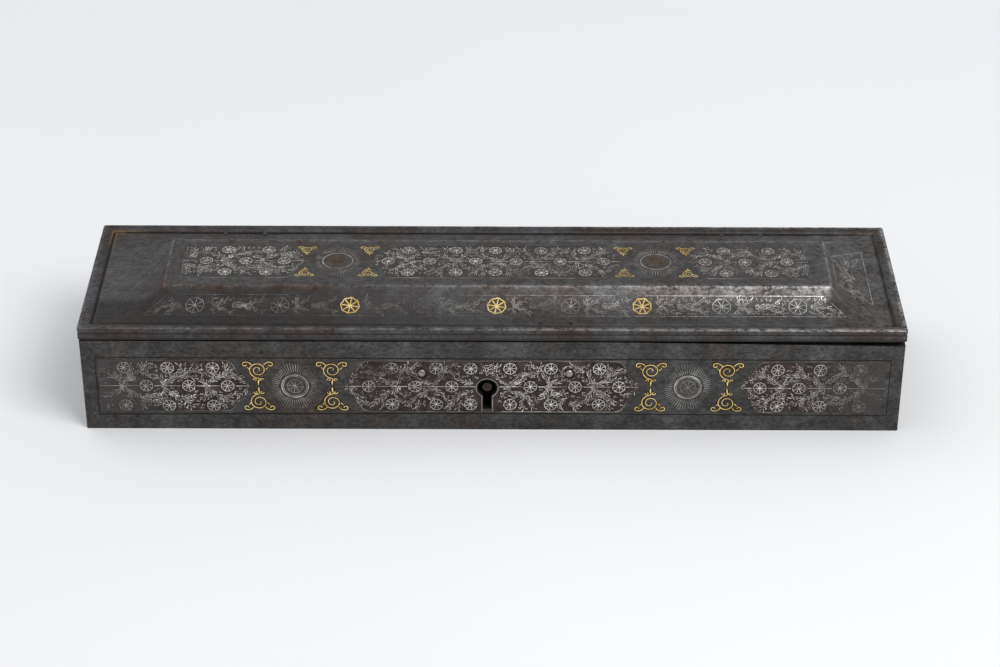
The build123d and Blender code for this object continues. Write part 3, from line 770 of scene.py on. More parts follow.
def pointed_line(x, out, low, high, middle, depth):
    """The end of a panel: two bowed lines that meet in a point."""
    tip = (x + out * depth, middle)
    return [curve((x, level), (x + out * depth * 0.5, level), (x + out * depth * 0.45, middle
            + (level - middle) * 0.35), tip) for level in (low, high)]


front_panels = [
    floral_panel(left_mids, left_outer, left_ends, (0, 8.6), -140, 3, shift=(-0.3, -0.8)),
    floral_panel(centre_mids, centre_outer, centre_ends, (8.4, 8.2), 0, 5,
                 gaps=[(-6.2, 2.6)], forked=True,
                 holes=[(hole_x, hole_z, 5.2), (hole_x, 12.0, 3.8),
                        *((x, rivet_z, 2.4) for x in rivet_places)]),
    floral_panel(right_mids, right_outer, right_ends, (8.6, 0), 150, 9,
                 middle=row_middle - 0.3, shift=(0.5, -0.1)),
]
plain_lines = [
    (*left_ends, panel_low), (*left_ends, panel_high), (*centre_ends, panel_high),
    (centre_ends[0], -7.2, panel_low), (3.4, centre_ends[1], panel_low),
    (*right_ends, panel_low), (*right_ends, panel_high),
]
outline = [[(start, z, 0.8), (end, z, 0.8)] for start, end, z in plain_lines]
for x, out, depth in ((left_ends[1], 1, 8.8), (centre_ends[0], -1, 8.6),
                      (centre_ends[1], 1, 8.4), (right_ends[0], -1, 8.8)):
    outline += pointed_line(x, out, panel_low, panel_high, row_middle, depth)


def outline_wear(x, z):
    """Faint, but for the foot of the middle panel's right half."""
    crisp = 0.35 * (z < 10) * (x > 0) * (x < 50)
    return 0.62 + 0.3 * np.clip((np.abs(x) - 110) / 30, 0, 1) - crisp


lay_wire("front_outline", outline, silver, 0.24, on_front, outline_wear, "body")
lay_panels("front_silver", front_panels, on_front, front_wear, "body")

# The scored plates. The middle one leaves the keyhole free.
side_fields = [
    field(left_ends, panel_low, panel_high, row_middle, (0, 8.6)),
    field(right_ends, panel_low, panel_high, row_middle, (8.6, 0)),
]
middle_fields = [
    field((centre_ends[0], hole_x - rim), panel_low, panel_high, row_middle, (8.4, 0)),
    field((hole_x + rim, centre_ends[1]), panel_low, panel_high, row_middle, (0, 8.2)),
]
over = np.linspace(-rim, rim, 17)
middle_fields.append(slab(hole_x + over, hole_z + np.sqrt(rim ** 2 - over ** 2),
                          np.full(17, panel_high)))
for side in (-1, 1):
    beside = np.linspace(slot_rim, rim, 7)
    foot = hole_z - np.sqrt(rim ** 2 - beside ** 2)
    middle_fields.append(slab(hole_x + side * beside, np.full(7, panel_low), foot))
lay("front_ground", side_fields + middle_fields, ground, on_front,
    lambda x, z: 1.2 * np.clip((np.abs(x + 2) - 112) / 30, 0, 1), "body")


# Keyhole and rivets: a silver line follows the edge of the keyhole, and the two rivets
# that hold the lock show outside as small worn domes, each ringed by a dark line painted on the
# wall.
turn_in = math.asin(slot_rim / rim)
arc = np.linspace(-math.pi / 2 + turn_in, 1.5 * math.pi - turn_in, 40)
edge = [(hole_x + rim * math.cos(a), hole_z + rim * math.sin(a)) for a in arc]
edge = [(hole_x + slot_rim, panel_low), *edge, (hole_x - slot_rim, panel_low)]
lay_wire("keyhole_edge", [edge], silver, 0.3, on_front, evenly(0.55), "body")


def turned(x, z, profile, count=24):
    """Points and faces of a solid turned about the line along Y through (x, z).

    profile lists (radius, y) from one pole to the other.
    """
    rings = [p for p in profile if p[0]]
    angles = [2 * math.pi * i / count for i in range(count)]
    points = [(x + r * math.cos(a), y, z + r * math.sin(a)) for r, y in rings for a in angles]
    points += [(x, profile[0][1], z), (x, profile[-1][1], z)]
    faces = [(k + i, k + (i + 1) % count, k + count + (i + 1) % count, k + count + i)
             for k in range(0, count * (len(rings) - 1), count) for i in range(count)]
    last = count * (len(rings) - 1)
    for i in range(count):
        faces.append(((i + 1) % count, i, last + count))
        faces.append((last + i, last + (i + 1) % count, last + count + 1))
    return points, faces


def smooth(mesh, angle=32):
    """Close the mesh, turn its faces outwards and shade it smooth, but for its corners."""
    shape = bmesh.new()
    shape.from_mesh(mesh)
    bmesh.ops.remove_doubles(shape, verts=shape.verts, dist=1e-7)
    bmesh.ops.recalc_face_normals(shape, faces=shape.faces)
    shape.to_mesh(mesh)
    shape.free()
    mesh.shade_smooth()
    mesh.set_sharp_from_angle(angle=math.radians(angle))
    return mesh


rivet_iron = patinated_iron("worn_rivet_iron", "#8a807c", "#857670", "#968e8a", 0.36, 0.0)
rivet_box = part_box("lock_rivets")
head_front, tail_back = rivet_box[0].y / MM, rivet_box[1].y / MM
rivet_profile = [(0, 0.2), (0.4, 0.17), (0.7, 0.05), (0.9, 0.02), (1.15, 0.14), (1.4, 0.42),
                 (1.5, 0.6), (0.9, 0.6)]
rivet_profile = [(r, head_front + y) for r, y in rivet_profile]
rivet_profile += [(0.9, tail_back - 0.7), (1.8, tail_back - 0.7), (1.8, tail_back - 0.2),
                  (1.6, tail_back), (0, tail_back)]
points, faces = [], []
for x in rivet_places:
    more, skin = turned(x, rivet_z, rivet_profile)
    faces += [tuple(len(points) + i for i in face) for face in skin]
    points += more
mesh = bpy.data.meshes.new("lock_rivets_domed")
mesh.from_pydata([tuple(v * MM for v in p) for p in points], [], faces)
mesh.materials.append(rivet_iron)
new_piece("lock_rivets_domed", smooth(mesh, 50), "body", "lock_rivets")
# A dark line painted on the wall round each rivet head.
rivet_ring_radius = 1.78
rivet_ring_lines = [[(x + rivet_ring_radius * math.cos(a), rivet_z + rivet_ring_radius * math.sin(a))
           for a in np.linspace(0, 2 * math.pi, 33)] for x in rivet_places]
lay_wire("rivet_rings", rivet_ring_lines, black_line, 0.55, on_front, evenly(0.0), "body")


# Roundels, scrolls and border: between the panels stand two silver sunbursts, each with
# four gold volutes round it. A fine black line, cut and waxed, frames the whole wall.
def roundel(x, y, radius, reach, tall):
    """Two rings, and round them a sunburst of fine cuts that is longest above and below."""
    rings = []
    for r, width in ((radius, 1.0), (radius * 0.87, 0.5)):
        rings.append([(x + r * math.cos(a), y + r * math.sin(a), width)
                      for a in np.linspace(0, 2 * math.pi, 49)])
    rays = []
    for i in range(56):
        a = 2 * math.pi * (i + 0.5) / 56
        group = abs(math.sin(4 * a))
        far = reach * (0.9 + 0.1 * group) + (tall - reach) * max(0.0, abs(math.sin(a)) - 0.5) * 2
        if abs(math.sin(4 * a + 0.9)) > 0.22:
            near = radius * 1.16 + 0.5 * (1 - group)
            rays.append([(x + near * math.cos(a), y + near * math.sin(a), 1.0),
                         (x + far * math.cos(a), y + far * math.sin(a), 0.45)])
    return rings, rays


def sunburst(x, y, sizes, widths, flower, seed):
    """The silver of one roundel: its rings, its rays and the rosette in its middle."""
    rings, rays = roundel(x, y, *sizes)
    return [grow(laid_wire, rings, silver, Width=widths[0]),
            grow(laid_wire, rays, silver, Width=widths[1]),
            grow(rosettes, [[(x, y, flower)]], silver, Width=widths[2], Seed=seed)]


def roundel_wear(x, z):
    """Half gone, but for the inner ring and the top of the left one."""
    ring = bump_at(np.hypot(np.abs(x) - 71.7, z - row_middle), 4.85, 0.6)
    return 0.5 - 0.2 * ring - 0.3 * (z > 25) * (x < -70) * (x > -80)


roundel_places, roundel_sizes = (-72.0, 71.4), (4.85, 8.8, 10.1)
bursts = [part for x in roundel_places
          for part in sunburst(x, row_middle, roundel_sizes, (0.38, 0.2, 0.07), 2.9, 1)]
lay("front_roundels", bursts, silver, on_front, roundel_wear, "body")


def scroll(x, y, flip, size):
    """A gold volute with two hooked tendrils towards the border and a bud towards the middle.

    flip is 1 where the border is above it and -1 where it is below.
    """
    lines = [spiral(0, 0, 0.3, 3.25, 1.7, math.radians(238), 1)]
    lines.append(curve((-1.7, -2.75), (-0.9, -3.5), (0.2, -3.2), (0.4, -4.0), steps=5))
    for side in (-1, 1):
        hook = curve((side * 2.2, 2.2), (side * 2.9, 3.3), (side * 4.0, 3.7), (side * 4.9, 3.3))
        for a in np.radians(np.arange(50, -200, -25)):
            r = 0.95 - 0.1 * (math.radians(50) - a)
            hook.append((side * (4.6 + r * math.cos(a)), 2.5 + r * math.sin(a), 1.0))
        lines.append(hook)
        lines.append(spiral(side * 1.15, -4.2, 0.12, 0.75, 0.8, math.radians(90 - side * 90), -side,
                            steps=7))
        lines.append(curve((side * 2.9, 0.4), (side * 3.7, 0.8), (side * 3.9, 1.5), steps=3,
                           start=1.3, end=0.3))
    lines.append([(0.3, -4.1, 1.0), (0, -4.9, 1.7), (0, -5.7, 1.5), (0, -6.4, 0.5)])
    return [[(x + size * px, y + flip * size * py, t) for px, py, t in line] for line in lines]


def scroll_pairs(places, middle, size=1.0, above=6.9, below=6.9):
    """Upper and lower volutes at each of the places along a row."""
    return [line for x in places for line in
            scroll(x, middle + above, 1, size) + scroll(x, middle - below, -1, size)]


gold_lines = scroll_pairs((-85.3, -58.4, 57.8, 85.8), row_middle)
lay_wire("front_gold_bed", gold_lines, black_line, 0.95, on_front, evenly(0.0), "body", 0.05)
lay_wire("front_gold", gold_lines, gold, 0.34, on_front, evenly(0.08), "body")


def lay_border(name, corners, place):
    """The black line round a wall."""
    lay_wire(name, [[*corners, corners[0]]], black_line, 0.42, place, evenly(0.2), "body", 0.06)


border = [(-144.3, 6.3), (0, 7.1), (144.8, 6.6), (144.8, 30.6), (0, 30.8), (-144.3, 31.0)]
lay_border("front_border", border, on_front)


# The back and the ends. They are out of the photograph's sight, and carry the front's
# pattern on, more worn, as such boxes do all round.
def on_wall(normal, distance):
    """Place flat x and y on the wall whose outer face lies that far out along normal."""
    normal = np.array(normal, float)
    sideways = np.array((-normal[1], normal[0], 0.0))

    def place(x, z):
        point = normal * distance + np.outer(x, sideways) + np.outer(z, (0, 0, 1.0))
        return point, np.tile(normal, (len(x), 1))
    return place


back_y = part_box("back_wall")[1].y / MM
end_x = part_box("right_end_wall")[1].x / MM
on_back = on_wall((0, 1, 0), back_y)
back_panels = [
    floral_panel(left_mids, left_outer, left_ends, (0, 8.6), -140, 13),
    floral_panel(centre_mids, centre_outer, centre_ends, (8.4, 8.4), 0, 15, forked=True),
    floral_panel(right_mids, right_outer, right_ends, (8.6, 0), 150, 19),
]
back_outline = [[(start, z, 0.8), (end, z, 0.8)] for z in (panel_low, panel_high)
                for start, end in (left_ends, centre_ends, right_ends)]
for x, out in ((left_ends[1], 1), (centre_ends[0], -1), (centre_ends[1], 1),
               (right_ends[0], -1)):
    back_outline += pointed_line(x, out, panel_low, panel_high, row_middle, 8.6)
worn_widths = (0.5, 0.24, 0.09)
back_bursts = [part for x in roundel_places
               for part in sunburst(x, row_middle, roundel_sizes, worn_widths, 3.0, 2)]
back_bursts.append(grow(laid_wire, back_outline, silver, Width=0.26))


def back_wear(x, z):
    """Worn as the front is, and a little more."""
    return 0.15 + front_wear(x, z)


lay_panels("back_silver", back_panels, on_back, back_wear, "body")
lay("back_roundels", back_bursts, silver, on_back, back_wear, "body")
back_field = field(centre_ends, panel_low, panel_high, row_middle, (8.4, 8.4))
lay("back_ground", [*side_fields, back_field], ground, on_back, evenly(0.5), "body")
back_gold = scroll_pairs([x + side for x in roundel_places for side in (-13.4, 13.9)],
                         row_middle)
lay_wire("back_gold", back_gold, gold, 0.5, on_back, evenly(0.3), "body")
lay_border("back_border", border, on_back)

end_middle = row_middle - 0.6
end_border = [(-34.6, 6.4), (34.6, 6.4), (34.6, 29.6), (-34.6, 29.6)]
for name, way in (("left_end", -1), ("right_end", 1)):
    on_end = on_wall((way, 0, 0), end_x)
    panels = [
        floral_panel([-25.5], [-31.0, -19.5], (-33.5, -17.0), (0, 0), -40, 23, middle=end_middle),
        floral_panel([25.5], [19.5, 31.0], (17.0, 33.5), (0, 0), 40, 29, middle=end_middle),
    ]
    lay_panels(name + "_silver", panels, on_end, evenly(0.3), "body")
    burst = sunburst(0, end_middle, (5.0, 8.2, 9.6), worn_widths, 2.9, 3)
    lay(name + "_roundel", burst, silver, on_end, evenly(0.35), "body")
    lay_wire(name + "_gold", scroll_pairs((-12.6, 12.6), end_middle, 0.95), gold, 0.5, on_end,
             evenly(0.25), "body")
    lay_border(name + "_border", end_border, on_end)


# Lid: a flat raised panel and four hollow coves, cut from thin sheet, brazed along the
# mitres and scraped by hand, so that no face is quite flat.
panel_low_corner, panel_high_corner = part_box("lid_panel")
panel_left, panel_right = panel_low_corner.x / MM, panel_high_corner.x / MM
panel_half_depth = panel_high_corner.y / MM
crown = panel_high_corner.z / MM
sheet_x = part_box("lid_right_cove")[1].x / MM
sheet_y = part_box("lid_back_cove")[1].y / MM
lid_sheet = 1.2
panel_rise = 6.8
crown_land = 0.6
cove_run = 13.2
end_cove_run = 12.5
edge_under_moulding = 1.8
arris_softness = 0.55
corner_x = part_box("lid_right_moulding")[1].x / MM
corner_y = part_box("lid_back_moulding")[1].y / MM
rim_width = 4.6
margin_top = crown - panel_rise
foot_y = panel_half_depth + crown_land + cove_run
foot_left = panel_left - crown_land - end_cove_run
foot_right = panel_right + crown_land + end_cove_run
up = np.array((0.0, 0.0, 1.0))


def cove_radius(run):
    """The radius of the hollow that rises by panel_rise over its run."""
    return (run ** 2 + panel_rise ** 2) / (2 * panel_rise)


def cove_rise(d, run):
    """Height above the margin at a distance d inside the cove's foot, its arris eased."""
    radius = cove_radius(run)
    d = np.asarray(d, float)
    arc = radius - np.sqrt(radius ** 2 - np.clip(d, 0, run) ** 2)
    arc = arc + np.clip(d - run, 0, None) * run / (radius - panel_rise)
    share = np.clip(0.5 + 0.5 * (panel_rise - arc) / arris_softness, 0, 1)
    return panel_rise + (arc - panel_rise) * share - arris_softness * share * (1 - share)


def hand(x, y):
    """How far the scraped face lies below the true one: never above it."""
    low = [
        0.19 + 0.14 * noise.noise((a / 26, b / 13, 0.0)) + 0.05 * noise.noise((a / 7, b / 5, 5.0))
        for a, b in zip(x, y)
    ]
    return np.clip(low, 0.07, 0.34)


def mitred_strip(name, inward, profile, skin, start, end, uneven, material, corner=0.0,
                 firm=0, bend=None):
    """The mesh of a strip whose section runs from mitre to mitre along one side.

    profile lists (inward place, height), skin how many of them lie on its outer face,
    start and end give the strip's ends at an inward place, uneven lowers the outer face
    but for its first firm points, and corner rounds the strip's outer corners in plan.
    Where the mitre turns at one inward place, bend is that place.
    """
    inward = np.array(inward, float)
    along = np.cross(inward, up)
    profile = np.array(profile, float)
    near_end = np.array((0.0, 0.15, 0.35, 0.6, 0.9, 1.3, 1.8, 2.5, 3.5))
    length = float(np.max(end(profile[:, 0])) - np.min(start(profile[:, 0])))
    middle = np.linspace(5.5, length - 5.5, max(3, round(length / 3)))
    stations = np.concatenate([near_end, middle, length - near_end[::-1]]) / length
    first, last = start(profile[:, 0]), end(profile[:, 0])
    s = first[None, :] + (last - first)[None, :] * stations[:, None]
    d = np.repeat(profile[None, :, 0], len(stations), 0)
    z = np.repeat(profile[None, :, 1], len(stations), 0)
    point = d[..., None] * inward + s[..., None] * along + z[..., None] * up
    if corner:
        inner = np.array((corner_x - corner, corner_y - corner))
        past = np.abs(point[..., :2]) - inner
        out = np.hypot(*np.moveaxis(past, -1, 0))
        outside = (past.min(-1) > 0) & (out > corner)
        pulled = inner + past * (corner / np.maximum(out, 1e-6))[..., None]
        point[..., :2] = np.where(outside[..., None], np.sign(point[..., :2]) * pulled,
                                  point[..., :2])
    lowered = uneven(point[:, :skin, 0].ravel(), point[:, :skin, 1].ravel())
    point[:, firm:skin, 2] -= lowered.reshape(len(stations), skin)[:, firm:]
    count, ring = len(stations), len(profile)
    faces = [
        (j * ring + i, j * ring + (i + 1) % ring, (j + 1) * ring + (i + 1) % ring,
         (j + 1) * ring + i)
        for j in range(count - 1) for i in range(ring)
    ]
    section = list(range(ring))
    caps = [section]
    if bend is not None:
        upper, lower = [i for i in section if abs(profile[i, 0] - bend) < 1e-6]
        caps = [section[upper:lower + 1], section[lower:] + section[:upper + 1]]
    for cap in caps:
        faces.append(tuple(cap))
        faces.append(tuple((count - 1) * ring + i for i in reversed(cap)))
    mesh = bpy.data.meshes.new(name)
    mesh.from_pydata((point.reshape(-1, 3) * MM).tolist(), [], faces)
    mesh.materials.append(material)
    return smooth(mesh)


def paint(mesh, **shares):
    """Store each share, worked out from places in millimetres, as an attribute."""
    co = np.zeros(len(mesh.vertices) * 3)
    mesh.vertices.foreach_get("co", co)
    x, y, z = co.reshape(-1, 3).T / MM
    for name, share in shares.items():
        values = np.clip(share(x, y, z), 0, 1)
        mesh.attributes.new(name, "FLOAT", "POINT").data.foreach_set("value", values)


def lid_distance(x, y):
    """Distance in from the nearest cove's foot, as a share of that cove's run."""
    return np.minimum.reduce([
        (y + foot_y) / cove_run, (foot_y - y) / cove_run,
        (x - foot_left) / end_cove_run, (foot_right - x) / end_cove_run])


def lid_rub_and_highlight(x, y, z):
    """Worn edges and painted highlights: bright along the front arris on the right, strongest
    towards the lamp, and faintly along the others and the hips.
    """
    share = lid_distance(x, y)
    front = (y < -panel_half_depth + 3) & (x > panel_left) & (x < panel_right)
    towards_lamp = np.clip((x + 50) / 150, 0, 1)
    other = np.where(y > panel_half_depth - 2, 0.6, 0.3 + 0.2 * (x > 0))
    # Painted highlights, partly worn edges: along the arrises, on the upper front cove and down the
    # right hip, stronger towards the lamp on the right.
    arris = bump_at(share, 1.0, 0.04) * np.where(front, 0.08 + 0.5 * towards_lamp, other)
    cove_wear_and_highlight = bump_at(share, 0.93, 0.1) * np.clip((x - 30) / 60, 0, 1) * front
    hips = bump_at(np.abs(np.abs(x - 1.9) - np.abs(y) - 105.65), 0, 0.5)
    right_hip_highlight = hips * (share > 0) * (share < 1) * (x > 0)
    right_end = 0.1 * np.clip((x - 118) / 6, 0, 1)
    return arris + 0.3 * cove_wear_and_highlight + 0.08 * right_hip_highlight + right_end


def lid_rust(x, y, z):
    """Rust in patches along the front arris on the left, and down the front left hip."""
    share = lid_distance(x, y)
    arris = bump_at(share, 0.97, 0.13) * (y < 0) * np.clip((-x + 5) / 60, 0, 1)
    dash = sum(much * bump_at(x, centre, width) for much, centre, width in
               ((1, -72, 12), (1, -104, 7), (0.6, 0, 14), (0.4, 62, 14)))
    across, down = x - foot_left, y + foot_y
    hip = bump_at(across / end_cove_run - down / cove_run, 0, 0.22)
    hip = hip * (across > -1) * (across < end_cove_run + 2) * (y < 0)
    return 0.4 * arris + 0.85 * bump_at(share, 0.98, 0.13) * (y < 0) * dash + 0.75 * hip


def lid_gap(x, y):
    """Distance in from the moulding's foot."""
    return np.minimum(corner_x - rim_width - np.abs(x), corner_y - rim_width - np.abs(y))


def lid_grime_and_shade(x, y, z):
    """Black wax and painted shade in the groove along the moulding, widest at the back where the
    moulding's inner face stands in shade, and old soot in front; by the right hip, painted shade
    that dims the lamp's highlight on the front cove.
    """
    # Painted shade: the dark band is widened at the back to stand for the shadow under the back
    # moulding.
    reach = np.where(y > 25, 1.7, 0.8)
    soot = 0.75 * np.clip((-x + 40) / 120, 0, 1) * np.clip((-y - 14) / 5, 0, 1)
    # Painted shade: darkens the steep front cove by the right hip, where the lamp's highlight
    # falls.
    hip_shade = np.clip((x - panel_right + 1) / 2, 0, 1) * (y < 0)
    below_hip = (y + foot_y) / cove_run < (foot_right - x) / end_cove_run + 0.02
    wax_and_shade = 0.9 * np.exp(-(np.maximum(lid_gap(x, y), 0) / reach) ** 2)
    return wax_and_shade + soot + 0.8 * hip_shade * below_hip


def lid_dust(x, y, z):
    """Tan dust at the groove's brim on the left, thick in the back left corner."""
    line = bump_at(lid_gap(x, y), 0.95, 0.25)
    corner = bump_at(np.hypot(x + 143, y - 31), 0, 10)
    return line * (0.4 * np.clip((-x - 138) / 5, 0, 1) + corner) + 0.1 * (y > 31) * line


def mitre_end(side_x, side_y):
    """Plan of a hip: the sheet's corner, the coves' feet and the panel's corner."""
    foot_x, panel_x = (foot_left, panel_left) if side_x < 0 else (foot_right, panel_right)
    return np.array([(side_x * sheet_x, side_y * sheet_y), (foot_x, side_y * foot_y),
                     (panel_x, side_y * panel_half_depth)])


def hip_line(inward, side_x, side_y):
    """Where a hip cuts the strip, as a function of the place inward."""
    corner = mitre_end(side_x, side_y)
    inward = np.array(inward, float)[:2]
    along = np.array((inward[1], -inward[0]))
    d, s = corner @ inward, corner @ along
    return lambda place: np.interp(place, d, s)


def cove_profile(foot, run, edge):
    """The section of a cove: its outer face inwards, then its underside outwards."""
    land = run + crown_land
    brim = foot - (edge - edge_under_moulding)
    groove = [(foot - edge, 0), (brim - 0.1, 0), (brim + 0.05, 0.45), (brim + 0.4, 0.5),
              (brim + 0.75, 0.12), (brim + 1.1, 0)]
    outer = np.concatenate([np.linspace(brim + 1.7, 0, 5)[:-1], np.linspace(0, run - 2, 16)[:-1],
                            np.linspace(run - 2, land, 16)])
    upper = [(d - foot, margin_top - low) for d, low in groove]
    upper += [(d - foot, margin_top + float(cove_rise(d, run))) for d in outer]
    radius = cove_radius(run) + lid_sheet
    turn = math.acos(1 - panel_rise / radius)
    lower = [(radius * math.sin(a) - foot, margin_top - lid_sheet + radius * (1 - math.cos(a)))
             for a in np.linspace(turn, 0, 12)]
    lower = [(land - foot, crown - lid_sheet), *lower, (-edge, margin_top - lid_sheet)]
    return upper + lower, len(upper)


lid_iron = patinated_iron("browned_lid_iron", "#545150", "#524a46", "#5b5a5a", 0.44, 0.0)
lid_marks = {"rub_and_highlight": lid_rub_and_highlight, "rust": lid_rust, "grime_and_shade": lid_grime_and_shade, "dust": lid_dust}

# Each side's inward way, how far out its cove's foot lies, the cove's run, the sheet's
# edge, and the signs of x and y at its two corners.
sides = {
    "front": ((0, 1, 0), foot_y, cove_run, sheet_y, (-1, -1), (1, -1)),
    "back": ((0, -1, 0), foot_y, cove_run, sheet_y, (1, 1), (-1, 1)),
    "left": ((1, 0, 0), -foot_left, end_cove_run, sheet_x, (-1, 1), (-1, -1)),
    "right": ((-1, 0, 0), foot_right, end_cove_run, sheet_x, (1, -1), (1, 1)),
}
for side, (inward, foot, run, edge, first, last) in sides.items():
    profile, skin = cove_profile(foot, run, edge)
    mesh = mitred_strip(side + "_cove", inward, profile, skin, hip_line(inward, *first),
                        hip_line(inward, *last), hand, lid_iron, bend=-foot)
    paint(mesh, **lid_marks)
    new_piece(side + "_cove", mesh, "lid", f"lid_{side}_cove")

across = np.linspace(-panel_half_depth, panel_half_depth, 19)
share = np.minimum(across + foot_y, foot_y - across)
profile = [(d, margin_top + float(cove_rise(s, cove_run))) for d, s in zip(across, share)]
profile += [(panel_half_depth, crown - lid_sheet), (-panel_half_depth, crown - lid_sheet)]
mesh = mitred_strip("raised_panel", (0, 1, 0), profile, len(across),
                    lambda place: np.full_like(place, panel_left),
                    lambda place: np.full_like(place, panel_right), hand, lid_iron)
paint(mesh, **lid_marks)
new_piece("raised_panel", mesh, "lid", "lid_panel")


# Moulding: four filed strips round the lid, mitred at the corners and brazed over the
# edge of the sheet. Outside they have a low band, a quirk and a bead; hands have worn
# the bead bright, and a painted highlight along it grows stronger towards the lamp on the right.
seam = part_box("lid_front_moulding")[0].z / MM
rim_height = 4.8
rim_step = 0.8
rim_seat = 2.8
bead_radius = 1.0
quirk_depth = 0.35


def rim_profile(outer):
    """The section of the moulding on a side whose outer face lies that far out."""
    bead = [(bead_radius - bead_radius * math.cos(a), rim_height - bead_radius
             + bead_radius * math.sin(a)) for a in np.radians(np.linspace(-38, 90, 9))]
    section = [
        (0.25, 0), (0.07, 0.08), (0.0, 0.28), (0.0, 1.2), (0.02, 1.75), (0.12, 2.05),
        (quirk_depth, 2.25), (quirk_depth + 0.1, 2.5), (quirk_depth - 0.06, 2.9), *bead[1:],
        (1.7, rim_height - 0.02), (2.5, rim_height - 0.09), (3.2, rim_height - 0.22),
        (3.8, rim_height - 0.42), (4.25, rim_height - 0.7), (4.5, rim_height - 1.0),
        (rim_width, rim_height - rim_step - 0.48),
    ]
    skin = len(section)
    section += [(rim_seat, rim_height - rim_step - 0.48), (rim_seat, 0)]
    return [(u - outer, seam + h) for u, h in section], skin


def rim_uneven(x, y):
    """The file left the strips a little wavy."""
    return np.array([0.05 + 0.05 * noise.noise((a / 17, b / 17, 3.0)) for a, b in zip(x, y)])


def rim_depth(x, y):
    """Distance in from the moulding's outer face."""
    return np.minimum(corner_x - np.abs(x), corner_y - np.abs(y))


def rim_rub_and_highlight(x, y, z):
    """Worn edge and painted highlight along the bead, most on the right towards the lamp and in
    streaks, and faintly on the band.
    """
    out = rim_depth(x, y)
    height = z - seam
    towards_lamp = np.clip((x + 60) / 180, 0, 1)
    # Painted highlight along the bead, partly worn edge, stronger towards the lamp on the right.
    bead = bump_at(height, rim_height - 0.1, 0.4) * bump_at(out, 0.9, 0.6)
    top = (height > rim_height - 0.3) * (out > 1.4) * (y < 0) * 0.1
    return bead * (0.2 + 0.7 * towards_lamp) + top * (0.3 + towards_lamp)


def rim_rust(x, y, z):
    """Rust on the middle of the front strip's foot, and a breath of it on the left."""
    height = z - seam
    low = np.clip(1 - height / 2.4, 0, 1) * (y < 0)
    return low * (bump_at(x, -14, 24) + 0.35 * (x < -40)) + 0.2 * (x < -60) * (height > 3)


def rim_grime_and_shade(x, y, z):
    """Black wax in the quirk, and painted shade: a dark band along the foot where the lid meets the
    body, and on the moulding's inner face.
    """
    out = rim_depth(x, y)
    height = z - seam
    quirk = bump_at(height, 2.4, 0.22) * (out < 0.6)
    # Painted shadow of the seam: the foot of the strip is darkened to widen the dark line between
    # lid and body.
    foot = 0.9 * (height < 0.35) + 0.3 * (height < 1.3) * (out < 0.6)
    # Painted shade on the moulding's inner face, above the margin.
    return 0.85 * quirk + foot + 0.9 * np.clip((out - 4.1) / 0.4, 0, 1) * (height > 2)


def rim_dust(x, y, z):
    """Tan dust on the inner foot, thick in the back left corner and thin in the right one."""
    left, right = (bump_at(np.hypot(x - side * 145, y - 33), 0, 9) for side in (-1, 1))
    return (left + 0.4 * right) * np.clip((rim_depth(x, y) - 3.7) / 0.5, 0, 1)


rim_iron = patinated_iron("filed_moulding_iron", "#484544", "#463c38", "#505052", 0.42, 0.02)
rim_marks = {"rub_and_highlight": rim_rub_and_highlight, "rust": rim_rust, "grime_and_shade": rim_grime_and_shade, "dust": rim_dust}
notch_side, notch_front, notch_back, notch_over = 0.3 * MM, 0.0327, 0.06, 2.3 * MM
for side, (inward, *_) in sides.items():
    outer, half = (corner_y, corner_x) if inward[1] else (corner_x, corner_y)
    profile, skin = rim_profile(outer)
    gap = outer - half
    mesh = mitred_strip(side + "_moulding", inward, profile, skin, lambda place: place + gap,
                        lambda place: -place - gap, rim_uneven, rim_iron, corner=1.9, firm=4)
    if side == "back":
        # It is notched over the two hinge barrels.
        strip = put("strip", mesh)
        top = frame["joints"][0]["pos_m"][2] + notch_over
        for leaf in ("left_hinge_body_leaf", "right_hinge_body_leaf"):
            low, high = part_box(leaf)
            corners = [(x, y, z) for x in (low.x - notch_side, high.x + notch_side)
                       for y in (notch_front, notch_back) for z in (0.0, top)]
            block = bpy.data.meshes.new("notch")
            block.from_pydata(corners, [], [(0, 1, 3, 2), (4, 6, 7, 5), (0, 4, 5, 1),
                                            (2, 3, 7, 6), (0, 2, 6, 4), (1, 5, 7, 3)])
            cutter = put("notch", block)
            notch = strip.modifiers.new("notch", "BOOLEAN")
            notch.object, notch.operation, notch.solver = cutter, "DIFFERENCE", "EXACT"
            shape = strip.evaluated_get(bpy.context.evaluated_depsgraph_get())
            mesh = bpy.data.meshes.new_from_object(shape)
            strip.modifiers.clear()
            strip.data = mesh
            bpy.data.objects.remove(cutter)
        bpy.data.objects.remove(strip)
        smooth(mesh)
    paint(mesh, **rim_marks)
    new_piece(side + "_moulding", mesh, "lid", f"lid_{side}_moulding")


# Silver and gold work on the lid: floral panels and two roundels on the raised panel, a
# band of rosettes and leaf scroll on the long coves, and a sprig panel on the short ones.
def on_crown(x, y):
    """Flat x and y as x and y on the raised panel and its eased arrises."""
    height = margin_top + cove_rise(np.minimum(y + foot_y, foot_y - y), cove_run) - hand(x, y)
    return np.stack([x, y, height], 1), np.tile((0.0, 0.0, 1.0), (len(x), 1))


def on_cove(side):
    """Flat x along one cove, and y up its face from its foot."""
    inward, foot, run = sides[side][:3]
    inward = np.array(inward, float)
    along = np.cross(inward, up)
    radius = cove_radius(run)

    def place(x, y):
        turn = np.maximum(y, 0) / radius
        base = np.outer(radius * np.sin(turn) - foot + np.minimum(y, 0), inward)
        base += np.outer(x, along)
        height = margin_top + radius * (1 - np.cos(turn)) - hand(base[:, 0], base[:, 1])
        normal = np.outer(-np.sin(turn), inward) + np.outer(np.cos(turn), up)
        return base + np.outer(height, up), normal
    return place


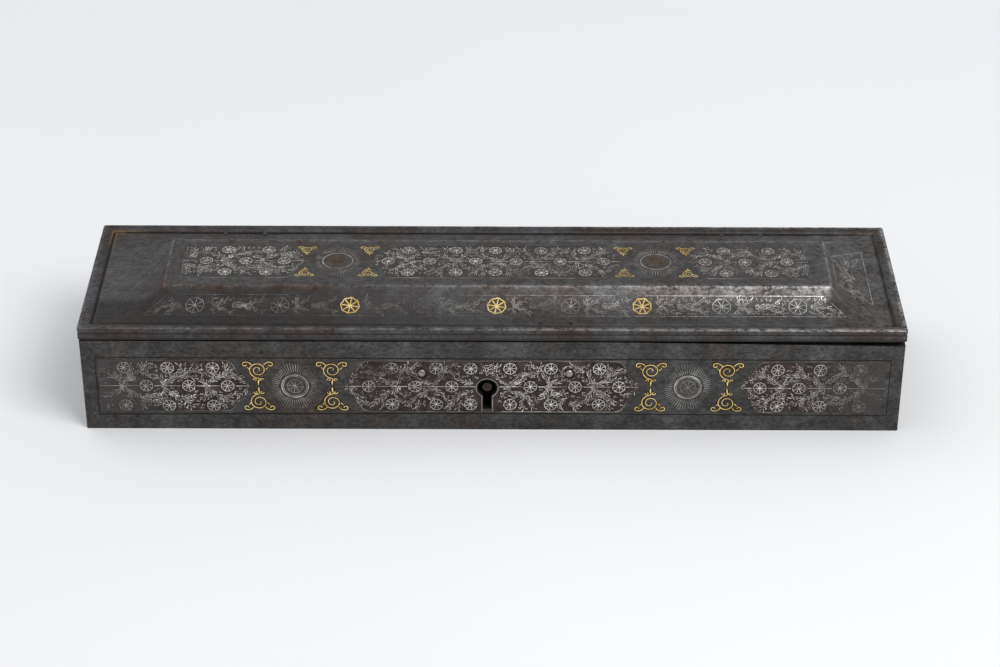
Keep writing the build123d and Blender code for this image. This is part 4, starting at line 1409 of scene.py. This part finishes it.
def crown_wear(x, y):
    """Crisp on the left, worn in the middle and most on the right."""
    return 0.15 * np.clip((x + 70) / 150, 0, 1)


crown_middle, crown_rise = 0.7, 8.1
crown_low, crown_high = -11.4, 11.8
crown_ends = [(-114.8, -77), (-37, 40), (80, 117.0)]
crown_tips = [(0, 8), (8, 8), (8, 0)]
crown_row = {"middle": crown_middle, "rise": crown_rise, "wire": 0.14}
crown_panels = [
    floral_panel([-106.4, -91.7, -77.5], [-98.9, -83.7], crown_ends[0], crown_tips[0], -130, 33,
                 **crown_row),
    floral_panel([-38.9, -23.4, -6.3, 8.6, 25.0, 41.1], [-31.4, -13.7, 1.0, 18.0, 34.2],
                 crown_ends[1], crown_tips[1], 1.2, 35, forked=True, **crown_row),
    floral_panel([78.9, 93.7, 109.3], [86.2, 102.9], crown_ends[2], crown_tips[2], 130, 39,
                 **crown_row),
]
start, end = crown_ends[1]
crown_outline = [[(start, y, 0.8), (end, y, 0.8)] for y in (crown_high, crown_low)]
for pointed, plain in (crown_ends[0][::-1], crown_ends[2]):
    crown_outline.append([(pointed, crown_high, 0.8), (plain, crown_high, 0.8),
                          (plain, crown_low, 0.8), (pointed, crown_low, 0.8)])
for x, out in ((-77, 1), (-37, -1), (40, 1), (80, -1)):
    crown_outline += pointed_line(x, out, crown_low, crown_high, crown_middle, 8.3)
lay_wire("crown_outline", crown_outline, silver, 0.24, on_crown,
         lambda x, y: 0.35 + 0.35 * (y > crown_low + 0.5), "lid")
lay_panels("crown_silver", crown_panels, on_crown, crown_wear, "lid")
crown_fields = [field(ends, crown_low, crown_high, crown_middle, tips)
                for ends, tips in zip(crown_ends, crown_tips)]
lid_ground = knife_cut_ground("knife_cut_lid", "#555251")
lay("crown_ground", crown_fields, lid_ground, on_crown, lambda x, y: 0.8 + 0.25 * (x > 60), "lid")
crown_rings, crown_flowers, crown_corners = [], [], []
for x in (-57.6, 60.5):
    rings, rays = roundel(x, crown_middle, 5.6, 8.8, 10.6)
    crown_rings += [grow(laid_wire, rings[:1], silver, Width=0.45),
                    grow(laid_wire, rays, silver, Width=0.22)]
    crown_flowers.append(grow(rosettes, [[(x, crown_middle, 3.6)]], gold, Width=0.08, Seed=4))
    crown_corners += [x - 11.8, x + 11.6]
crown_scrolls = scroll_pairs(crown_corners, crown_middle, 0.62, above=8.4, below=8.8)
lay("crown_roundels", crown_rings, silver, on_crown, evenly(0.4), "lid")
lay_wire("crown_gold", crown_scrolls, gold, 0.34, on_crown, evenly(0.1), "lid")
lay("crown_flowers", crown_flowers, gold, on_crown, evenly(0.7), "lid")


def cove_wear(x, y):
    """Thin and dull on the left and bright on the right."""
    return np.interp(x, [-120, -60, 0, 60, 100], [0.6, 0.6, 0.52, 0.38, 0.0])


band_low, band_high = 2.6, 11.7
band_middle = (band_low + band_high) / 2 + 0.1
band_flower = 3.35
silver_flowers = [-108.6, -77.6, -25.4, 28.5, 83.6, 111.4]
gold_flowers = [-52.0, 1.5, 54.6]


def band_scrolls(flowers):
    """Leafy scrolls that part above and below the stem between each two rosettes."""
    clear = 3.8
    scrolls = []
    for number, (here, there) in enumerate(zip(flowers, flowers[1:])):
        start, end = here + clear, there - clear
        width = end - start
        sway = 1 if number % 2 else -1
        for flip in (sway, -sway):
            scrolls.append(curve((start, band_middle), (start + width * 0.3, band_middle),
                                 (start + width * 0.45, band_middle + 5.6 * flip),
                                 (start + width * 0.62, band_middle + 3.8 * flip), end=0.5))
            scrolls.append(curve((start + width * 0.42, band_middle + 0.6 * flip),
                                 (start + width * 0.7, band_middle - 0.5 * flip),
                                 (end - 0.6, band_middle + 3.9 * flip), end=0.5))
            scrolls.append(curve((start + width * 0.1, band_middle + 0.8 * flip),
                                 (start + width * 0.05, band_middle + 3.5 * flip),
                                 (start + width * 0.28, band_middle + 4.2 * flip), steps=5,
                                 start=0.9, end=0.4))
    for x, out in ((flowers[0] - clear, -1), (flowers[-1] + clear, 1)):
        for flip in (-1, 1):
            scrolls.append(curve((x, band_middle), (x + out * 4, band_middle + flip * 0.4),
                                 (x + out * 5.5, band_middle + flip * 3.6), end=0.4))
        scrolls.append(curve((x + out * 3, band_middle), (x + out * 7, band_middle + 1.0),
                             (x + out * 11, band_middle - 3.0), end=0.4))
    return scrolls


def flower_row(places, finish, width, seed):
    """A row of the band's rosettes."""
    return grow(rosettes, [[(x, band_middle, band_flower)] for x in places], finish, Width=width,
                Seed=seed)


# Seen from its own side, the back cove's band is the front one's mirror image, so that the
# lid's left end is worn on both.
for side, way, seed, left_line, right_line in (("front", 1, 43, 0.3, 0.9),
                                               ("back", -1, 47, 0.9, 0.3)):
    flowers = sorted(way * x for x in silver_flowers + gold_flowers)
    left, right = sorted((way * -118.9, way * 121.0))

    def within(x, y):
        spread = (band_high - y) * 0.85 - 1.0
        return band_low + 1.0 < y < band_high - 1.1 and left - spread < x < right + spread

    clear = [(x, band_middle, band_flower * 1.14) for x in flowers]
    scrolls, taken = apart(band_scrolls(flowers), clear, within)
    curls = commas((-126, 130), (band_low, band_high), within, taken, seed, 0, pitch=1.45)
    slant = 7.8
    edges = [
        [(left, band_high, left_line), (0, band_high, 0.4), (right, band_high, right_line - 0.2)],
        [(left - slant, band_low, left_line + 0.1), (0, band_low, 0.6),
         (right + slant, band_low, right_line)],
        [(left, band_high, 0.4), (left - slant, band_low, 0.4)],
        [(right, band_high, 0.4), (right + slant, band_low, 0.4)],
    ]
    strong = [
        grow(laid_wire, edges, silver, Width=0.22),
        grow(leafy_stem, scrolls, silver, Width=0.17, Spacing=0.9, Leaf=1.5, Lean=0.7, Seed=seed),
        flower_row([way * x for x in silver_flowers], silver, 0.07, seed),
    ]
    lay_panels(side + "_cove_silver", [(strong, [grow(laid_wire, curls, silver, Width=0.15)])],
               on_cove(side), lambda x, y: cove_wear(way * x, y) + 0.2 * (way < 0), "lid")
    lay(side + "_cove_gold", [flower_row([way * x for x in gold_flowers], gold, 0.16, 1)], gold,
        on_cove(side), evenly(0.05), "lid")

# The short coves: a slanting panel with a few sprigs, nearly gone on the left.
sprigs = []
for way in (-1, 1):
    sprigs.append(curve((0, 2.0), (way * 5, 7.5), (way * 8, 2.5), (way * 13, 4.0), end=0.5))
    sprigs.append(curve((way * 3.5, 5.0), (way * 6, 9.0), (way * 9, 8.6), start=0.9, end=0.4))
    sprigs.append(curve((way * 8, 2.6), (way * 13, -1.0), (way * 17, 0.6), start=0.9, end=0.4))
corners = [(-9.5, 10.7), (10.5, 10.7), (19.5, -2.8), (-18.5, -2.8)]
fence = [[corners[i - 1], corners[i]] for i in range(4)]
for side, worn, seed in (("left", 0.75, 53), ("right", 0.2, 59)):
    parts = [
        grow(laid_wire, fence, silver, Width=0.15),
        grow(leafy_stem, sprigs, silver, Width=0.15, Spacing=1.1, Leaf=1.4, Lean=0.8, Seed=seed),
        grow(rosettes, [[(0, 5.5, 2.2)], [(-10.0, 4.4, 1.8)], [(11.0, 4.4, 1.8)]], silver,
             Width=0.08, Seed=seed),
    ]
    lay(side + "_cove_silver", parts, silver, on_cove(side), evenly(worn), "lid")


# Lock: a case of plain iron behind the keyhole, a sliding bolt and its guides, the drill
# pin that a pipe key turns on, and the staple under the lid. It was filed and left
# black, with rust and old oil on it.
lock_iron = patinated_iron("blackened_lock_iron", "#3f3b39", "#3c2c24", "#474543", 0.5, 0.1)
dress(["lock_plate", "lock_bolt", "left_bolt_guide", "right_bolt_guide", "pin_bridge",
       "bridge_rivets", "ward_ring", "spring_post", "bolt_spring", "lock_staple",
       "staple_rivets", "lid_front_lip", "lid_left_lip", "lid_right_lip"], lock_iron)
pin_iron = patinated_iron("worn_drill_pin", "#3d3531", "#382b25", "#453c38", 0.45, 0.04)
dress(["drill_pin"], pin_iron)

# Hinges: two butt hinges, each of rolled sheet with three knuckles on an iron pin,
# riveted inside the back wall and under the lid.
hinge_iron = patinated_iron("rubbed_hinge_iron", "#55514e", "#4b3d36", "#5d5c5c", 0.44, 0.06)
dress(["left_hinge_body_leaf", "right_hinge_body_leaf", "left_hinge_lid_leaf",
       "right_hinge_lid_leaf", "left_hinge_pin", "right_hinge_pin", "body_leaf_rivets",
       "lid_leaf_rivets"], hinge_iron)
